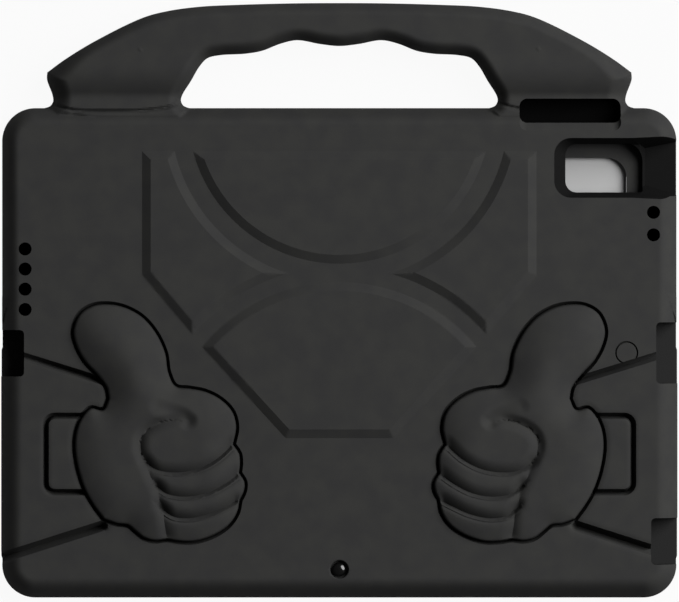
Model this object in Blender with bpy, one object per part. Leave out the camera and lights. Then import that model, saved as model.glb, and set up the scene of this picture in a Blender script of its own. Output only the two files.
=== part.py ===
# Kids tablet case: one moulded foam shell, open at the front, that a tablet is pressed into.
# Its back carries a raised pattern, two arms with thumbs-up fists and a carry handle above.
# A round glossy stud is pressed into the back near the lower edge.
# The case lies on its front rim with the back facing up.
# X runs along its width, +Y towards the handle, and the origin is under the middle of its box.

import bmesh
import bpy
import numpy as np
from math import cos, pi, radians, sin
from mathutils.geometry import delaunay_2d_cdt

MM = 0.001

# Tablet that the case fits
TABLET_WIDTH = 250.6 * MM
TABLET_HEIGHT = 174.1 * MM
TABLET_DEPTH = 7.5 * MM
TABLET_CORNER = 8.0 * MM
FIT_CLEARANCE = 0.2 * MM

# Shell round the pocket
SIDE_WALL = 14.0 * MM
BACK_WALL = 8.0 * MM
LIP_DEPTH = 3.0 * MM
LIP_REACH = 6.5 * MM
LIP_CHAMFER = 1.5 * MM
BODY_CORNER = 13.7 * MM
TOP_EDGE_RADIUS = 5.4 * MM
BOTTOM_EDGE_RADIUS = 8.3 * MM
FRONT_EDGE_RADIUS = 4.0 * MM

# Carry handle
HANDLE_RISE = 43.3 * MM
HANDLE_PROUD = 3.0 * MM
HANDLE_FRONT_GAP = 0.5 * MM
HANDLE_EDGE = 5.2 * MM
HANDLE_FRONT_EDGE = 4.0 * MM
NECK_DROP = 2.0 * MM
NECK_START = 4.0 * MM
NECK_END = 12.0 * MM
FOOT_SINK = 4.0 * MM

# Raised pattern on the back
RELIEF_RISE = 1.9 * MM
RELIEF_BEVEL = 2.7 * MM
RELIEF_TOP = 19.7 * MM
CROWN_CENTRE = 1.9 * MM
CROWN_RADIUS = 60.7 * MM
CHANNEL = 10.9 * MM
LENS_CENTRE = 145.5 * MM
LENS_RADIUS = 81.6 * MM
WING_SIDE = 79.6 * MM
WING_SIDE_END = 68.4 * MM
WING_FOOT = (58.9 * MM, 92.9 * MM)
DIAMOND_RADIUS = 71.7 * MM
DIAMOND_TIP = (54.3 * MM, 98.7 * MM)
DIAMOND_FOOT = (21.4 * MM, 134.6 * MM)

# Arms: a sleeve that wraps the side of the shell, a cuff on it and a fist
SLEEVE_RISE = 0.6 * MM
SLEEVE_PROUD = 0.4 * MM
SLEEVE_OUTER_EDGE = 9.0 * MM
SLEEVE_FRONT = 5.5 * MM
SLEEVE_UPPER_END = 46.0 * MM
SLEEVE_LOWER_END = 42.0 * MM
CUFF_LEFT = 18.3 * MM
CUFF_RIGHT = 40.0 * MM
CUFF_LOW = 43.8 * MM
CUFF_HIGH = 75.3 * MM
CUFF_CORNER = 3.7 * MM
FIST_RISE = 9.5 * MM
FIST_SKIRT = 4.5 * MM
FIST_ROUNDING = 13.0 * MM
FIST_ROOT = 4.0 * MM
CREASE_DEPTH = 2.6 * MM
CREASE_REACH = 4.2 * MM

# Openings, each with its place from the nearest edges of the shell
WINDOW_LEFT = 50.8 * MM
WINDOW_TOP = 12.5 * MM
WINDOW_BOTTOM = 37.2 * MM
WINDOW_CORNER = 7.0 * MM
WINDOW_SLOPE = 2.6 * MM
WINDOW_LEFT_SLOPE = 5.4 * MM
WINDOW_RIGHT = 11.4 * MM
WINDOW_RIGHT_SLOPE = 0.2 * MM
BUTTON_CHANNEL_OVERLAP = 1.5 * MM
BUTTON_CHANNEL_BEVEL = (5.4 * MM, 4.0 * MM)
BUTTON_CHANNEL_FLARE = 1.0 * MM
BUTTON_CHANNEL_FLOOR = 4.5 * MM
SLOT_LEFT = 74.4 * MM
SLOT_RIGHT = 116.3 * MM
SLOT_ABOVE_EDGE = 3.8 * MM
SLOT_DEEP_EDGE = 5.6 * MM
SLOT_LEDGE_EDGE = 9.5 * MM
SLOT_LEDGE_DROP = 3.0 * MM
SLOT_CORNER = 3.2 * MM
SLOT_LEDGE_INSET = 0.6 * MM
SLOT_PASSAGE_INSET = 3.0 * MM
SOUND_HOLE_RADIUS = 2.7 * MM
SOUND_HOLE_INSET = 9.8 * MM
SPEAKER_HOLES = (119.2 * MM, 127.6 * MM, 135.9 * MM, 144.2 * MM)
MICROPHONE_HOLES = (150.0 * MM, 159.3 * MM)
PORT_NOTCH = (9.4 * MM, 91.5 * MM, 110.7 * MM)
MIDDLE_NOTCH = (8.7 * MM, 88.6 * MM, 113.9 * MM)
JACK_NOTCH = (10.8 * MM, 13.8 * MM, 33.1 * MM)
NOTCH_CORNER = 1.8 * MM
PORT_PASSAGE = 13.0 * MM
JACK_PASSAGE = 8.0 * MM
PASSAGE_HEIGHT = 5.0 * MM
RING_MARK_RADIUS = 4.7 * MM
RING_MARK_INSET = 21.0 * MM
RING_MARK_UP = 101.3 * MM
RING_MARK_WIDTH = 0.9 * MM
RING_MARK_DEPTH = 0.7 * MM

# Glossy stud in its round recess
STUD_UP = 11.9 * MM
STUD_HEAD_RADIUS = 2.9 * MM
STUD_RECESS_RADIUS = 3.8 * MM
STUD_RECESS_DEPTH = 3.0 * MM
STUD_DOME = 1.6 * MM
STUD_STEM_RADIUS = 1.4 * MM
STUD_BARB_RADIUS = 2.1 * MM
STUD_STEM_LENGTH = 6.0 * MM
STUD_CLEARANCE = 0.3 * MM

# Sizes that follow from the ones above
POCKET_WIDTH = TABLET_WIDTH + 2 * FIT_CLEARANCE
POCKET_HEIGHT = TABLET_HEIGHT + 2 * FIT_CLEARANCE
POCKET_DEPTH = TABLET_DEPTH + 2 * FIT_CLEARANCE
BODY_WIDTH = POCKET_WIDTH + 2 * SIDE_WALL
BODY_HEIGHT = POCKET_HEIGHT + 2 * SIDE_WALL
POCKET_CEILING = LIP_DEPTH + POCKET_DEPTH
BACK = POCKET_CEILING + BACK_WALL
TOP = (BODY_HEIGHT + HANDLE_RISE) / 2 - HANDLE_RISE
BOTTOM = TOP - BODY_HEIGHT
HALF_WIDTH = BODY_WIDTH / 2
ABOVE = BACK + FIST_RISE + 5 * MM

# The fist's outline and finger creases, in mm from the shell's side and lower edge
FIST_RUNS = [
    [(44.2, 82.4), (43.3, 86.9), (39.7, 91.9), (34.4, 97.7), (30.8, 104.3), (29.6, 110.5), (32.3, 117.4),
     (37.3, 120.7), (43.1, 121.5), (50.5, 120.3), (58.0, 116.3), (63.8, 109.7), (67.7, 101.4),
     (69.1, 93.1), (72.0, 87.6), (77.8, 86.7), (84.5, 85.3), (91.1, 81.8), (95.6, 76.8), (97.1, 70.8),
     (95.8, 63.5)],
    [(95.8, 63.5), (98.3, 59.6), (98.7, 55.5), (98.3, 51.8)],
    [(98.3, 51.8), (100.5, 48.0), (100.3, 44.3), (98.5, 40.4)],
    [(98.5, 40.4), (97.5, 35.6), (94.4, 30.6), (88.6, 26.3), (80.3, 23.4), (73.7, 23.3), (68.3, 24.2)],
    [(68.3, 24.2), (63.3, 23.6), (58.8, 24.8), (55.1, 27.7), (52.2, 30.0), (47.6, 30.6), (42.2, 32.5)],
    [(42.2, 32.5), (37.7, 38.7), (34.2, 45.1), (31.5, 53.4), (30.2, 62.1), (30.8, 69.1), (33.1, 74.7),
     (36.8, 78.5), (41.8, 77.9), (44.2, 82.4)],
]
FINGER_CREASES = [
    [(95.4, 63.3), (88.6, 57.3), (81.0, 53.4), (72.5, 52.0), (64.6, 53.0), (59.6, 56.3), (57.1, 62.5),
     (58.6, 67.9), (63.8, 71.8), (70.4, 73.6), (76.0, 72.5)],
    [(98.1, 51.3), (91.9, 47.0), (84.9, 43.5), (76.6, 42.0), (68.7, 43.1), (63.8, 46.4)],
    [(96.9, 40.0), (92.7, 37.9), (85.7, 34.8), (77.8, 33.1), (70.8, 33.9), (65.4, 37.7)],
    [(61.7, 54.6), (62.9, 48.9), (64.6, 43.1), (66.2, 35.6), (68.3, 25.3)],
]

# The sleeve's borders and the grooves' shapes, in mm. A groove is (half width, depth) from its rim down.
SLEEVE_UPPER_LINE = [(-2.0, 103.3), (47.6, 87.9)]
SLEEVE_LOWER_LINE = [(-2.0, 16.0), (43.6, 30.6)]
UPPER_GROOVE = [(2.6, 0.0), (1.2, 0.9), (0.5, 2.4)]
LOWER_GROOVE = [(4.0, 0.0), (2.3, 0.9), (1.1, 3.0)]
CUFF_GROOVE = [(2.8, 0.0), (1.3, 0.9), (0.4, 2.6)]

# The handle's edges, in mm from the centre line and up from the shell's top edge
HANDLE_CREST = [(0, 43.3), (-17.5, 43.2), (-41.1, 42.6), (-57.6, 41.8), (-70.9, 40.0), (-81.0, 37.3),
                (-100.7, 27.7), (-113.9, 19.7), (-120.8, 14.7)]
HANDLE_SIDE = [(-120.8, 14.7), (-120.9, 11.8), (-118.8, 5.6), (-118.5, 3.0), (-119.6, 1.0), (-122.0, 0.0)]
HANDLE_GRIP = [(-62.0, 0.0), (-64.4, 0.9), (-65.6, 3.0), (-65.2, 5.2), (-61.4, 11.4), (-58.0, 17.2),
               (-54.7, 20.7), (-49.3, 22.0), (-39.0, 22.6), (-32.0, 23.8), (-24.5, 26.7), (-17.5, 28.2),
               (-7.9, 26.6), (0, 25.8)]


# Plane curves and outlines

def in_mm(points):
    return [(x * MM, y * MM) for x, y in points]


def arc(centre_x, centre_y, radius, start, end, count):
    """Points along an arc, with its angles in degrees."""
    angles = [radians(start + (end - start) * i / count) for i in range(count + 1)]
    return [(centre_x + radius * cos(a), centre_y + radius * sin(a)) for a in angles]


def smooth_run(points, step):
    """A centripetal Catmull-Rom curve through the points, at about one point per step."""
    p = np.array(points, dtype=float)
    p = np.vstack([2 * p[0] - p[1], p, 2 * p[-1] - p[-2]])
    out = [tuple(p[1])]
    for a, b, c, d in zip(p, p[1:], p[2:], p[3:]):
        t1 = np.linalg.norm(b - a) ** 0.5
        t2 = t1 + np.linalg.norm(c - b) ** 0.5
        t3 = t2 + np.linalg.norm(d - c) ** 0.5
        count = max(1, round(np.linalg.norm(c - b) / step))
        for i in range(1, count + 1):
            t = t1 + (t2 - t1) * i / count
            ab = a + (b - a) * t / t1
            bc = b + (c - b) * (t - t1) / (t2 - t1)
            cd = c + (d - c) * (t - t2) / (t3 - t2)
            abc = ab + (bc - ab) * t / t2
            bcd = bc + (cd - bc) * (t - t1) / (t3 - t1)
            out.append(tuple(abc + (bcd - abc) * (t - t1) / (t2 - t1)))
    return out


def rounded_rectangle(left, right, bottom, top, corner, count=6):
    """Outline points and their outward directions, anticlockwise."""
    points, outward = [], []
    corners = [(right - corner, top - corner, 0), (left + corner, top - corner, 90),
               (left + corner, bottom + corner, 180), (right - corner, bottom + corner, 270)]
    for x, y, start in corners:
        points += arc(x, y, corner, start, start + 90, count)
        outward += arc(0, 0, 1, start, start + 90, count)
    return np.array(points), np.array(outward)


def outward_directions(outline):
    """The outward direction at each point of an anticlockwise outline."""
    p = np.array(outline)
    along = np.roll(p, -1, axis=0) - p
    along /= np.linalg.norm(along, axis=1)[:, None]
    both = along + np.roll(along, 1, axis=0)
    both /= np.linalg.norm(both, axis=1)[:, None]
    return np.column_stack([both[:, 1], -both[:, 0]])


def offset_outline(outline, distance):
    """The outline moved outward by a distance, with its corners kept sharp."""
    p = np.array(outline)
    edge = np.roll(p, -1, axis=0) - p
    edge /= np.linalg.norm(edge, axis=1)[:, None]
    before = np.roll(edge, 1, axis=0)
    normal = outward_directions(p)
    lean = np.abs(normal[:, 0] * before[:, 1] - normal[:, 1] * before[:, 0])
    return p + normal * (distance / np.maximum(lean, 0.2))[:, None]


def distance_to(points, line, closed=False):
    """Each point's distance to a line of straight pieces."""
    start = np.array(line)
    end = np.roll(start, -1, axis=0)
    if not closed:
        start, end = start[:-1], end[:-1]
    along = end - start
    to_point = np.asarray(points)[:, None, :] - start[None]
    share = (to_point * along).sum(axis=2) / (along * along).sum(axis=1)
    nearest = start + np.clip(share, 0, 1)[..., None] * along
    return np.linalg.norm(np.asarray(points)[:, None, :] - nearest, axis=2).min(axis=1)


def is_inside(points, outline):
    """Whether each point lies inside a closed outline."""
    p = np.asarray(points)
    a = np.array(outline)
    b = np.roll(a, -1, axis=0)
    crosses = (a[:, 1] > p[:, None, 1]) != (b[:, 1] > p[:, None, 1])
    rise = np.where(b[:, 1] == a[:, 1], 1, b[:, 1] - a[:, 1])
    x = a[:, 0] + (p[:, None, 1] - a[:, 1]) / rise * (b[:, 0] - a[:, 0])
    return (crosses & (p[:, None, 0] < x)).sum(axis=1) % 2 == 1


def round_drop(distance, radius):
    """How far a rounded edge has dropped at a distance in from its outline."""
    reach = np.clip(radius - distance, 0, radius)
    return radius - np.sqrt(radius ** 2 - reach ** 2)


def smooth_step(value, start, end):
    share = np.clip((value - start) / (end - start), 0, 1)
    return share * share * (3 - 2 * share)


def from_corner(points, side):
    """Points given from the shell's side and lower edge; side is -1 for left, 1 for right."""
    placed = [(side * (HALF_WIDTH - x), BOTTOM + y) for x, y in points]
    return placed if side < 0 else placed[::-1]


# Solids

def make_object(name, mesh_data, material=None):
    mesh = bpy.data.meshes.new(name)
    bmesh.ops.recalc_face_normals(mesh_data, faces=mesh_data.faces)
    mesh_data.to_mesh(mesh)
    mesh_data.free()
    solid = bpy.data.objects.new(name, mesh)
    bpy.context.scene.collection.objects.link(solid)
    mesh.shade_smooth()
    mesh.set_sharp_from_angle(angle=radians(30))
    if material:
        mesh.materials.append(material)
    return solid


def skin_rings(name, rings):
    """A closed solid through rings of points, first ring lowest, all anticlockwise from above."""
    data = bmesh.new()
    loops = [[data.verts.new(point) for point in ring] for ring in rings]
    data.faces.new(loops[0][::-1])
    data.faces.new(loops[-1])
    for lower, upper in zip(loops, loops[1:]):
        for i in range(len(lower)):
            j = (i + 1) % len(lower)
            data.faces.new((lower[i], lower[j], upper[j], upper[i]))
    return make_object(name, data)


def ring_at(outline, height):
    return [(x, y, height) for x, y in outline]


def prism(name, outline, low, high):
    return skin_rings(name, [ring_at(outline, low), ring_at(outline, high)])


def box(name, x_range, y_range, z_range):
    left, right = sorted(x_range)
    bottom, top = sorted(y_range)
    outline = [(left, bottom), (right, bottom), (right, top), (left, top)]
    return prism(name, outline, *z_range)


def turned(name, profile, centre, count=24):
    """A solid of revolution from (radius, height) points, lowest first."""
    circle = arc(0, 0, 1, 0, 360 - 360 / count, count - 1)
    rings = [[(centre[0] + r * x, centre[1] + r * y, z) for x, y in circle] for r, z in profile]
    return skin_rings(name, rings)


def plan_points(outline, ring_insets, spacing, guides):
    """Points to mesh an outline with: rings just inside it, guide points and a grid between."""
    outward = outward_directions(outline)
    chosen = [outline]
    for inset in ring_insets:
        ring = outline - outward * inset
        keep = is_inside(ring, outline) & (distance_to(ring, outline, True) > inset * 0.93)
        chosen.append(ring[keep])
    for guide in guides:
        guide = np.asarray(guide)
        guide = guide[is_inside(guide, outline)]
        chosen.append(guide[distance_to(guide, outline, True) > spacing * 0.3])
    low, high = outline.min(axis=0), outline.max(axis=0)
    rows = np.arange(low[1], high[1], spacing * 0.87)
    grid = np.array([(x + (i % 2) * spacing / 2, y) for i, y in enumerate(rows)
                     for x in np.arange(low[0], high[0], spacing)])
    grid = grid[is_inside(grid, outline)]
    grid = grid[distance_to(grid, outline, True) > max(ring_insets) + spacing * 0.55]
    if len(guides):
        placed = np.vstack(chosen[1 + len(ring_insets):])
        gaps = np.linalg.norm(grid[:, None, :] - placed[None], axis=2).min(axis=1)
        grid = grid[gaps > spacing * 0.6]
    return np.vstack(chosen + [grid])


def add_sheet(data, outline, height, ring_insets, spacing, guides=()):
    """Adds a triangulated sheet that follows height(points), and returns its rim's vertices."""
    points = plan_points(outline, ring_insets, spacing, guides)
    made = delaunay_2d_cdt([tuple(p) for p in points], [], [list(range(len(outline)))], 1, 1e-7)
    plan = np.array([tuple(v) for v in made[0]])
    vertices = [data.verts.new((x, y, z)) for (x, y), z in zip(plan, height(plan))]
    for face in made[2]:
        data.faces.new([vertices[i] for i in face])
    return vertices[:len(outline)]


def domed_solid(name, outline, base, height, ring_insets, spacing, guides=(), front_edge=0):
    """A solid whose upper side follows height(points), flat below or with a rounded lower edge."""
    outline = np.array(outline)
    data = bmesh.new()
    upper = add_sheet(data, outline, height, ring_insets, spacing, guides)
    if front_edge:
        def front(points):
            return base + round_drop(distance_to(points, outline, True), front_edge)
        lower = add_sheet(data, outline, front, (front_edge * 0.3, front_edge), 40 * MM)
    else:
        lower = [data.verts.new((x, y, base)) for x, y in outline]
        data.faces.new(lower)
    for i in range(len(outline)):
        j = (i + 1) % len(outline)
        data.faces.new((lower[i], lower[j], upper[j], upper[i]))
    return make_object(name, data)


def groove_along(name, path, shape, surface):
    """A groove cutter along a path, from its shape in (half width, depth) pairs."""
    p = np.array(path)
    along = np.gradient(p, axis=0)
    along /= np.linalg.norm(along, axis=1)[:, None]
    across = np.column_stack([-along[:, 1], along[:, 0]])
    wall = [(shape[0][0] * MM, MM)] + [(half * MM, -depth * MM) for half, depth in shape]
    section = [(-half, z) for half, z in wall] + wall[::-1]
    data = bmesh.new()
    loops = []
    for point, side in zip(p, across):
        loops.append([data.verts.new((*(point + side * offset), surface + z)) for offset, z in section])
    data.faces.new(loops[0])
    data.faces.new(loops[-1][::-1])
    for first, second in zip(loops, loops[1:]):
        for i in range(len(section)):
            j = (i + 1) % len(section)
            data.faces.new((first[j], first[i], second[i], second[j]))
    return make_object(name, data)


# Shell

def edge_radius_at(y):
    """The back edge is rounder at the bottom of the case than at the top."""
    share = (y - BOTTOM) / BODY_HEIGHT
    return BOTTOM_EDGE_RADIUS + (TOP_EDGE_RADIUS - BOTTOM_EDGE_RADIUS) * share


def make_shell():
    points, outward = rounded_rectangle(-HALF_WIDTH, HALF_WIDTH, BOTTOM, TOP, BODY_CORNER, 8)
    rings = []
    for angle in (pi / 2, pi / 4, 0):
        inset = FRONT_EDGE_RADIUS * (1 - cos(angle))
        rings.append(ring_at(points - outward * inset, FRONT_EDGE_RADIUS * (1 - sin(angle))))
    radius = edge_radius_at(points[:, 1])
    for step in range(5):
        angle = step * pi / 8
        ring = points - outward * (radius * (1 - cos(angle)))[:, None]
        rings.append([(x, y, BACK - r * (1 - sin(angle))) for (x, y), r in zip(ring, radius)])
    return skin_rings("foam_case", rings)


def pocket_outline(inset, corner):
    half = POCKET_WIDTH / 2 - inset
    return rounded_rectangle(-half, half, BOTTOM + SIDE_WALL + inset, TOP - SIDE_WALL - inset, corner)[0]


def make_pocket():
    """The tablet's pocket and the screen opening in front of it, chamfered at its rim."""
    pocket = prism("pocket", pocket_outline(0, TABLET_CORNER), LIP_DEPTH, POCKET_CEILING)
    screen = pocket_outline(LIP_REACH, TABLET_CORNER)
    mouth = offset_outline(screen, LIP_CHAMFER)
    rings = [ring_at(offset_outline(screen, LIP_CHAMFER + MM), -MM), ring_at(mouth, 0),
             ring_at(screen, LIP_CHAMFER), ring_at(screen, LIP_DEPTH + MM)]
    return [pocket, skin_rings("screen_opening", rings)]


# Handle

def handle_outline():
    step = 4.2 * MM
    crest = in_mm(HANDLE_CREST)
    crest = [(-x, y) for x, y in crest[:0:-1]] + crest
    grip = in_mm(HANDLE_GRIP)
    grip = grip + [(-x, y) for x, y in grip[-2::-1]]
    side = smooth_run(in_mm(HANDLE_SIDE), step)
    mirrored = [(-x, y) for x, y in side[::-1]]
    foot_outer = side[-1][0]
    foot_inner = grip[0][0]
    outline = smooth_run(crest, step) + side[1:] + [(foot_outer, -FOOT_SINK), (foot_inner, -FOOT_SINK)]
    outline += smooth_run(grip, step) + [(-foot_inner, -FOOT_SINK), (-foot_outer, -FOOT_SINK)]
    outline += mirrored[:-1]
    return [(x, y + TOP) for x, y in outline]


def make_handle():
    """The grip, thicker than the shell, and its two feet with a dip where they meet the shell."""
    outline = handle_outline()

    def height(points):
        rise = smooth_step(points[:, 1] - TOP, NECK_START, NECK_END)
        level = BACK - NECK_DROP + (NECK_DROP + HANDLE_PROUD) * rise
        return level - round_drop(distance_to(points, outline, True), HANDLE_EDGE)

    insets = [HANDLE_EDGE * share for share in (0.12, 0.42, 1)]
    return domed_solid("handle", outline, HANDLE_FRONT_GAP, height, insets, 6 * MM, front_edge=HANDLE_FRONT_EDGE)


# Raised pattern

def plateau(name, outline):
    """A raised field with sloping sides, sunk a little into the back."""
    slope = RELIEF_BEVEL / RELIEF_RISE
    sink = 0.4 * MM
    foot = offset_outline(outline, RELIEF_BEVEL / 2 + slope * sink)
    top = offset_outline(outline, -RELIEF_BEVEL / 2)
    return skin_rings(name, [ring_at(foot, BACK - sink), ring_at(top, BACK + RELIEF_RISE)])


def arc_between(centre_y, radius, first_x, last_x, lower, count):
    """Points on a circle on the centre line, from one X to another, on its lower or upper side."""
    start = np.arcsin(first_x / radius)
    end = np.arcsin(last_x / radius)
    sign = -1 if lower else 1
    turns = [start + (end - start) * i / count for i in range(count + 1)]
    return [(radius * sin(a), centre_y + sign * radius * cos(a)) for a in turns]


def make_pattern():
    """A crown under the top edge, a wing at each side of it and a diamond with a round top."""
    crown_y = TOP - CROWN_CENTRE
    lens_y = TOP - LENS_CENTRE
    cut = TOP - RELIEF_TOP
    below_crown = crown_y - cut
    crown_half = (CROWN_RADIUS ** 2 - below_crown ** 2) ** 0.5
    crown = arc_between(crown_y, CROWN_RADIUS, -crown_half, crown_half, True, 20)

    inner = CROWN_RADIUS + CHANNEL
    inner_half = (inner ** 2 - below_crown ** 2) ** 0.5
    span = crown_y - lens_y
    meet_y = lens_y + (span ** 2 + LENS_RADIUS ** 2 - inner ** 2) / (2 * span)
    meet_x = (LENS_RADIUS ** 2 - (meet_y - lens_y) ** 2) ** 0.5
    wing = [(-inner_half, cut), (-WING_SIDE, cut), (-WING_SIDE, TOP - WING_SIDE_END)]
    wing += arc_between(lens_y, LENS_RADIUS, -WING_FOOT[0], -meet_x, False, 6)
    wing += arc_between(crown_y, inner, -meet_x, -inner_half, True, 10)[1:-1]
    mirrored = [(-x, y) for x, y in wing[::-1]]

    tip_x, foot_x = DIAMOND_TIP[0], DIAMOND_FOOT[0]
    diamond = arc_between(lens_y, DIAMOND_RADIUS, tip_x, -tip_x, False, 16)
    diamond += [(-foot_x, TOP - DIAMOND_FOOT[1]), (foot_x, TOP - DIAMOND_FOOT[1])]
    return [plateau("crown", crown), plateau("wing_left", wing), plateau("wing_right", mirrored),
            plateau("diamond", diamond)]


# Arms

def make_sleeve(side):
    """A low panel that wraps the side of the shell, between its two border grooves."""
    upper, lower = np.array(in_mm(SLEEVE_UPPER_LINE)).T, np.array(in_mm(SLEEVE_LOWER_LINE)).T
    corners = [(x, np.interp(x, *line)) for x, line in [
        (-SLEEVE_PROUD, upper), (-SLEEVE_PROUD, lower), (SLEEVE_LOWER_END, lower), (SLEEVE_UPPER_END, upper)]]
    outline = []
    for (ax, ay), (bx, by) in zip(corners, corners[1:] + corners[:1]):
        count = round(np.hypot(bx - ax, by - ay) / (6 * MM))
        outline += [(ax + (bx - ax) * i / count, ay + (by - ay) * i / count) for i in range(count)]
    outline = from_corner(outline, side)
    outer_x = side * (HALF_WIDTH + SLEEVE_PROUD)

    def height(points):
        return BACK + SLEEVE_RISE - round_drop(np.abs(points[:, 0] - outer_x), SLEEVE_OUTER_EDGE)

    insets = (0.7 * MM, 3 * MM, 6 * MM)
    return domed_solid("sleeve", outline, SLEEVE_FRONT, height, insets, 9 * MM)


def cuff_line():
    """The cuff's edge from the fist round to the fist again, from the shell's side and lower edge."""
    line = [(CUFF_RIGHT, CUFF_HIGH)]
    line += arc(CUFF_LEFT + CUFF_CORNER, CUFF_HIGH - CUFF_CORNER, CUFF_CORNER, 90, 180, 4)
    line += arc(CUFF_LEFT + CUFF_CORNER, CUFF_LOW + CUFF_CORNER, CUFF_CORNER, 180, 270, 4)
    return line + [(CUFF_RIGHT, CUFF_LOW)]


def make_fist(side):
    """A thumbs-up fist: a high pad with round edges and creases between its fingers."""
    step = 3.4 * MM
    outline = []
    for run in FIST_RUNS:
        outline += smooth_run(in_mm(run), step)[:-1]
    outline = from_corner(outline, side)
    creases = [from_corner(smooth_run(in_mm(line), 2.8 * MM), side) for line in FINGER_CREASES]

    def height(points):
        share = np.clip(distance_to(points, outline, True) / FIST_ROUNDING, 0, 1)
        level = BACK + FIST_SKIRT + (FIST_RISE - FIST_SKIRT) * (1 - (1 - share) ** 2)
        for line in creases:
            closeness = np.clip(1 - distance_to(points, line) / CREASE_REACH, 0, 1)
            level -= CREASE_DEPTH * closeness ** 2 * np.sqrt(np.clip(share * 5, 0, 1))
        return level

    guides = []
    for line in creases:
        line = np.array(line)
        across = np.gradient(line, axis=0)
        across = np.column_stack([-across[:, 1], across[:, 0]])
        across /= np.linalg.norm(across, axis=1)[:, None]
        guides += [line, line[1:-1] + across[1:-1] * 1.9 * MM, line[1:-1] - across[1:-1] * 1.9 * MM]
    insets = (0.7 * MM, 2.6 * MM, 5.4 * MM)
    return domed_solid("fist", outline, BACK - FIST_ROOT, height, insets, 3.6 * MM, guides)


# Openings

def make_window():
    """The camera window, with sloping sides, and the button channel from it to the side."""
    right_x = HALF_WIDTH - WINDOW_RIGHT
    left_x = HALF_WIDTH - WINDOW_LEFT
    top_y = TOP - WINDOW_TOP
    bottom_y = TOP - WINDOW_BOTTOM
    low, high = POCKET_CEILING - MM, BACK
    outer = rounded_rectangle(left_x, right_x, bottom_y, top_y, WINDOW_CORNER)[0]
    inner = rounded_rectangle(left_x + WINDOW_LEFT_SLOPE, right_x - WINDOW_RIGHT_SLOPE, bottom_y + WINDOW_SLOPE,
                              top_y - WINDOW_SLOPE, WINDOW_CORNER - WINDOW_SLOPE)[0]
    window = skin_rings("window", [ring_at(inner, low), ring_at(outer, high), ring_at(outer, ABOVE)])
    flare = BUTTON_CHANNEL_FLARE
    outside = HALF_WIDTH + 2 * MM
    start = right_x - BUTTON_CHANNEL_OVERLAP
    lower_bevel, upper_bevel = BUTTON_CHANNEL_BEVEL
    floor = [(start, bottom_y + lower_bevel), (outside, bottom_y + flare), (outside, top_y - flare),
             (start, top_y - upper_bevel)]
    mouth = [(start, bottom_y), (outside, bottom_y - flare), (outside, top_y + flare), (start, top_y)]
    rings = [ring_at(floor, BUTTON_CHANNEL_FLOOR), ring_at(mouth, BACK), ring_at(mouth, ABOVE)]
    return [window, skin_rings("button_channel", rings)]


def make_slot():
    """The volume slot in the right foot, its sloping ledge, and its passage to the pocket."""
    floor = LIP_DEPTH + 2 * MM
    well = rounded_rectangle(SLOT_LEFT, SLOT_RIGHT, TOP - SLOT_DEEP_EDGE, TOP + SLOT_ABOVE_EDGE, SLOT_CORNER)[0]
    slope = SLOT_LEDGE_EDGE - SLOT_DEEP_EDGE
    wide = rounded_rectangle(SLOT_LEFT, SLOT_RIGHT, TOP - SLOT_LEDGE_EDGE, TOP + MM, SLOT_CORNER)[0]
    narrow = rounded_rectangle(SLOT_LEFT + SLOT_LEDGE_INSET, SLOT_RIGHT - SLOT_LEDGE_INSET,
                               TOP - SLOT_LEDGE_EDGE + slope, TOP + MM - SLOT_LEDGE_INSET,
                               SLOT_CORNER - SLOT_LEDGE_INSET)[0]
    ledge = [ring_at(narrow, BACK - SLOT_LEDGE_DROP), ring_at(wide, BACK), ring_at(wide, ABOVE)]
    passage_z = (POCKET_CEILING - PASSAGE_HEIGHT - MM, POCKET_CEILING - MM)
    passage = box("volume_passage", (SLOT_LEFT + SLOT_PASSAGE_INSET, SLOT_RIGHT - SLOT_PASSAGE_INSET),
                  (TOP - SIDE_WALL - MM, TOP - SLOT_DEEP_EDGE + MM), passage_z)
    return [prism("slot_well", well, floor, ABOVE), skin_rings("slot_ledge", ledge), passage]


def make_sound_hole(side, up):
    """A round hole beside the pocket with a short passage into it."""
    x = side * (HALF_WIDTH - SOUND_HOLE_INSET)
    y = BOTTOM + up
    hole = prism("sound_hole", arc(x, y, SOUND_HOLE_RADIUS, 0, 345, 15), LIP_DEPTH + 1.5 * MM, ABOVE)
    width = SOUND_HOLE_RADIUS * 0.6
    passage = box("sound_passage", (x, side * (POCKET_WIDTH / 2 - MM)), (y - width, y + width),
                  (LIP_DEPTH + 2 * MM, POCKET_CEILING - 2 * MM))
    return [hole, passage]


def make_notch(side, notch, passage_width):
    """A recess in the side that opens to the back, with a passage for a plug where it has one."""
    depth, low, high = notch
    outside = side * (HALF_WIDTH + 4 * MM)
    inside = side * (HALF_WIDTH - depth)
    left, right = sorted((outside, inside))
    outline = rounded_rectangle(left, right, BOTTOM + low, BOTTOM + high, NOTCH_CORNER, 3)[0]
    made = [prism("notch", outline, LIP_DEPTH + MM, ABOVE)]
    if passage_width:
        middle = BOTTOM + (low + high) / 2
        made.append(box("plug_passage", (inside + side * MM, side * (POCKET_WIDTH / 2 - MM)),
                        (middle - passage_width / 2, middle + passage_width / 2),
                        (LIP_DEPTH + 1.5 * MM, POCKET_CEILING - 1.5 * MM)))
    return made


def make_grooves():
    """The grooves above and below each sleeve and round each cuff."""
    lines = [("upper_groove", in_mm(SLEEVE_UPPER_LINE), UPPER_GROOVE, BACK),
             ("lower_groove", in_mm(SLEEVE_LOWER_LINE), LOWER_GROOVE, BACK),
             ("cuff_groove", cuff_line(), CUFF_GROOVE, BACK + SLEEVE_RISE)]
    made = []
    for side in (-1, 1):
        made += [groove_along(name, from_corner(line, side), shape, level) for name, line, shape, level in lines]
    return made


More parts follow.
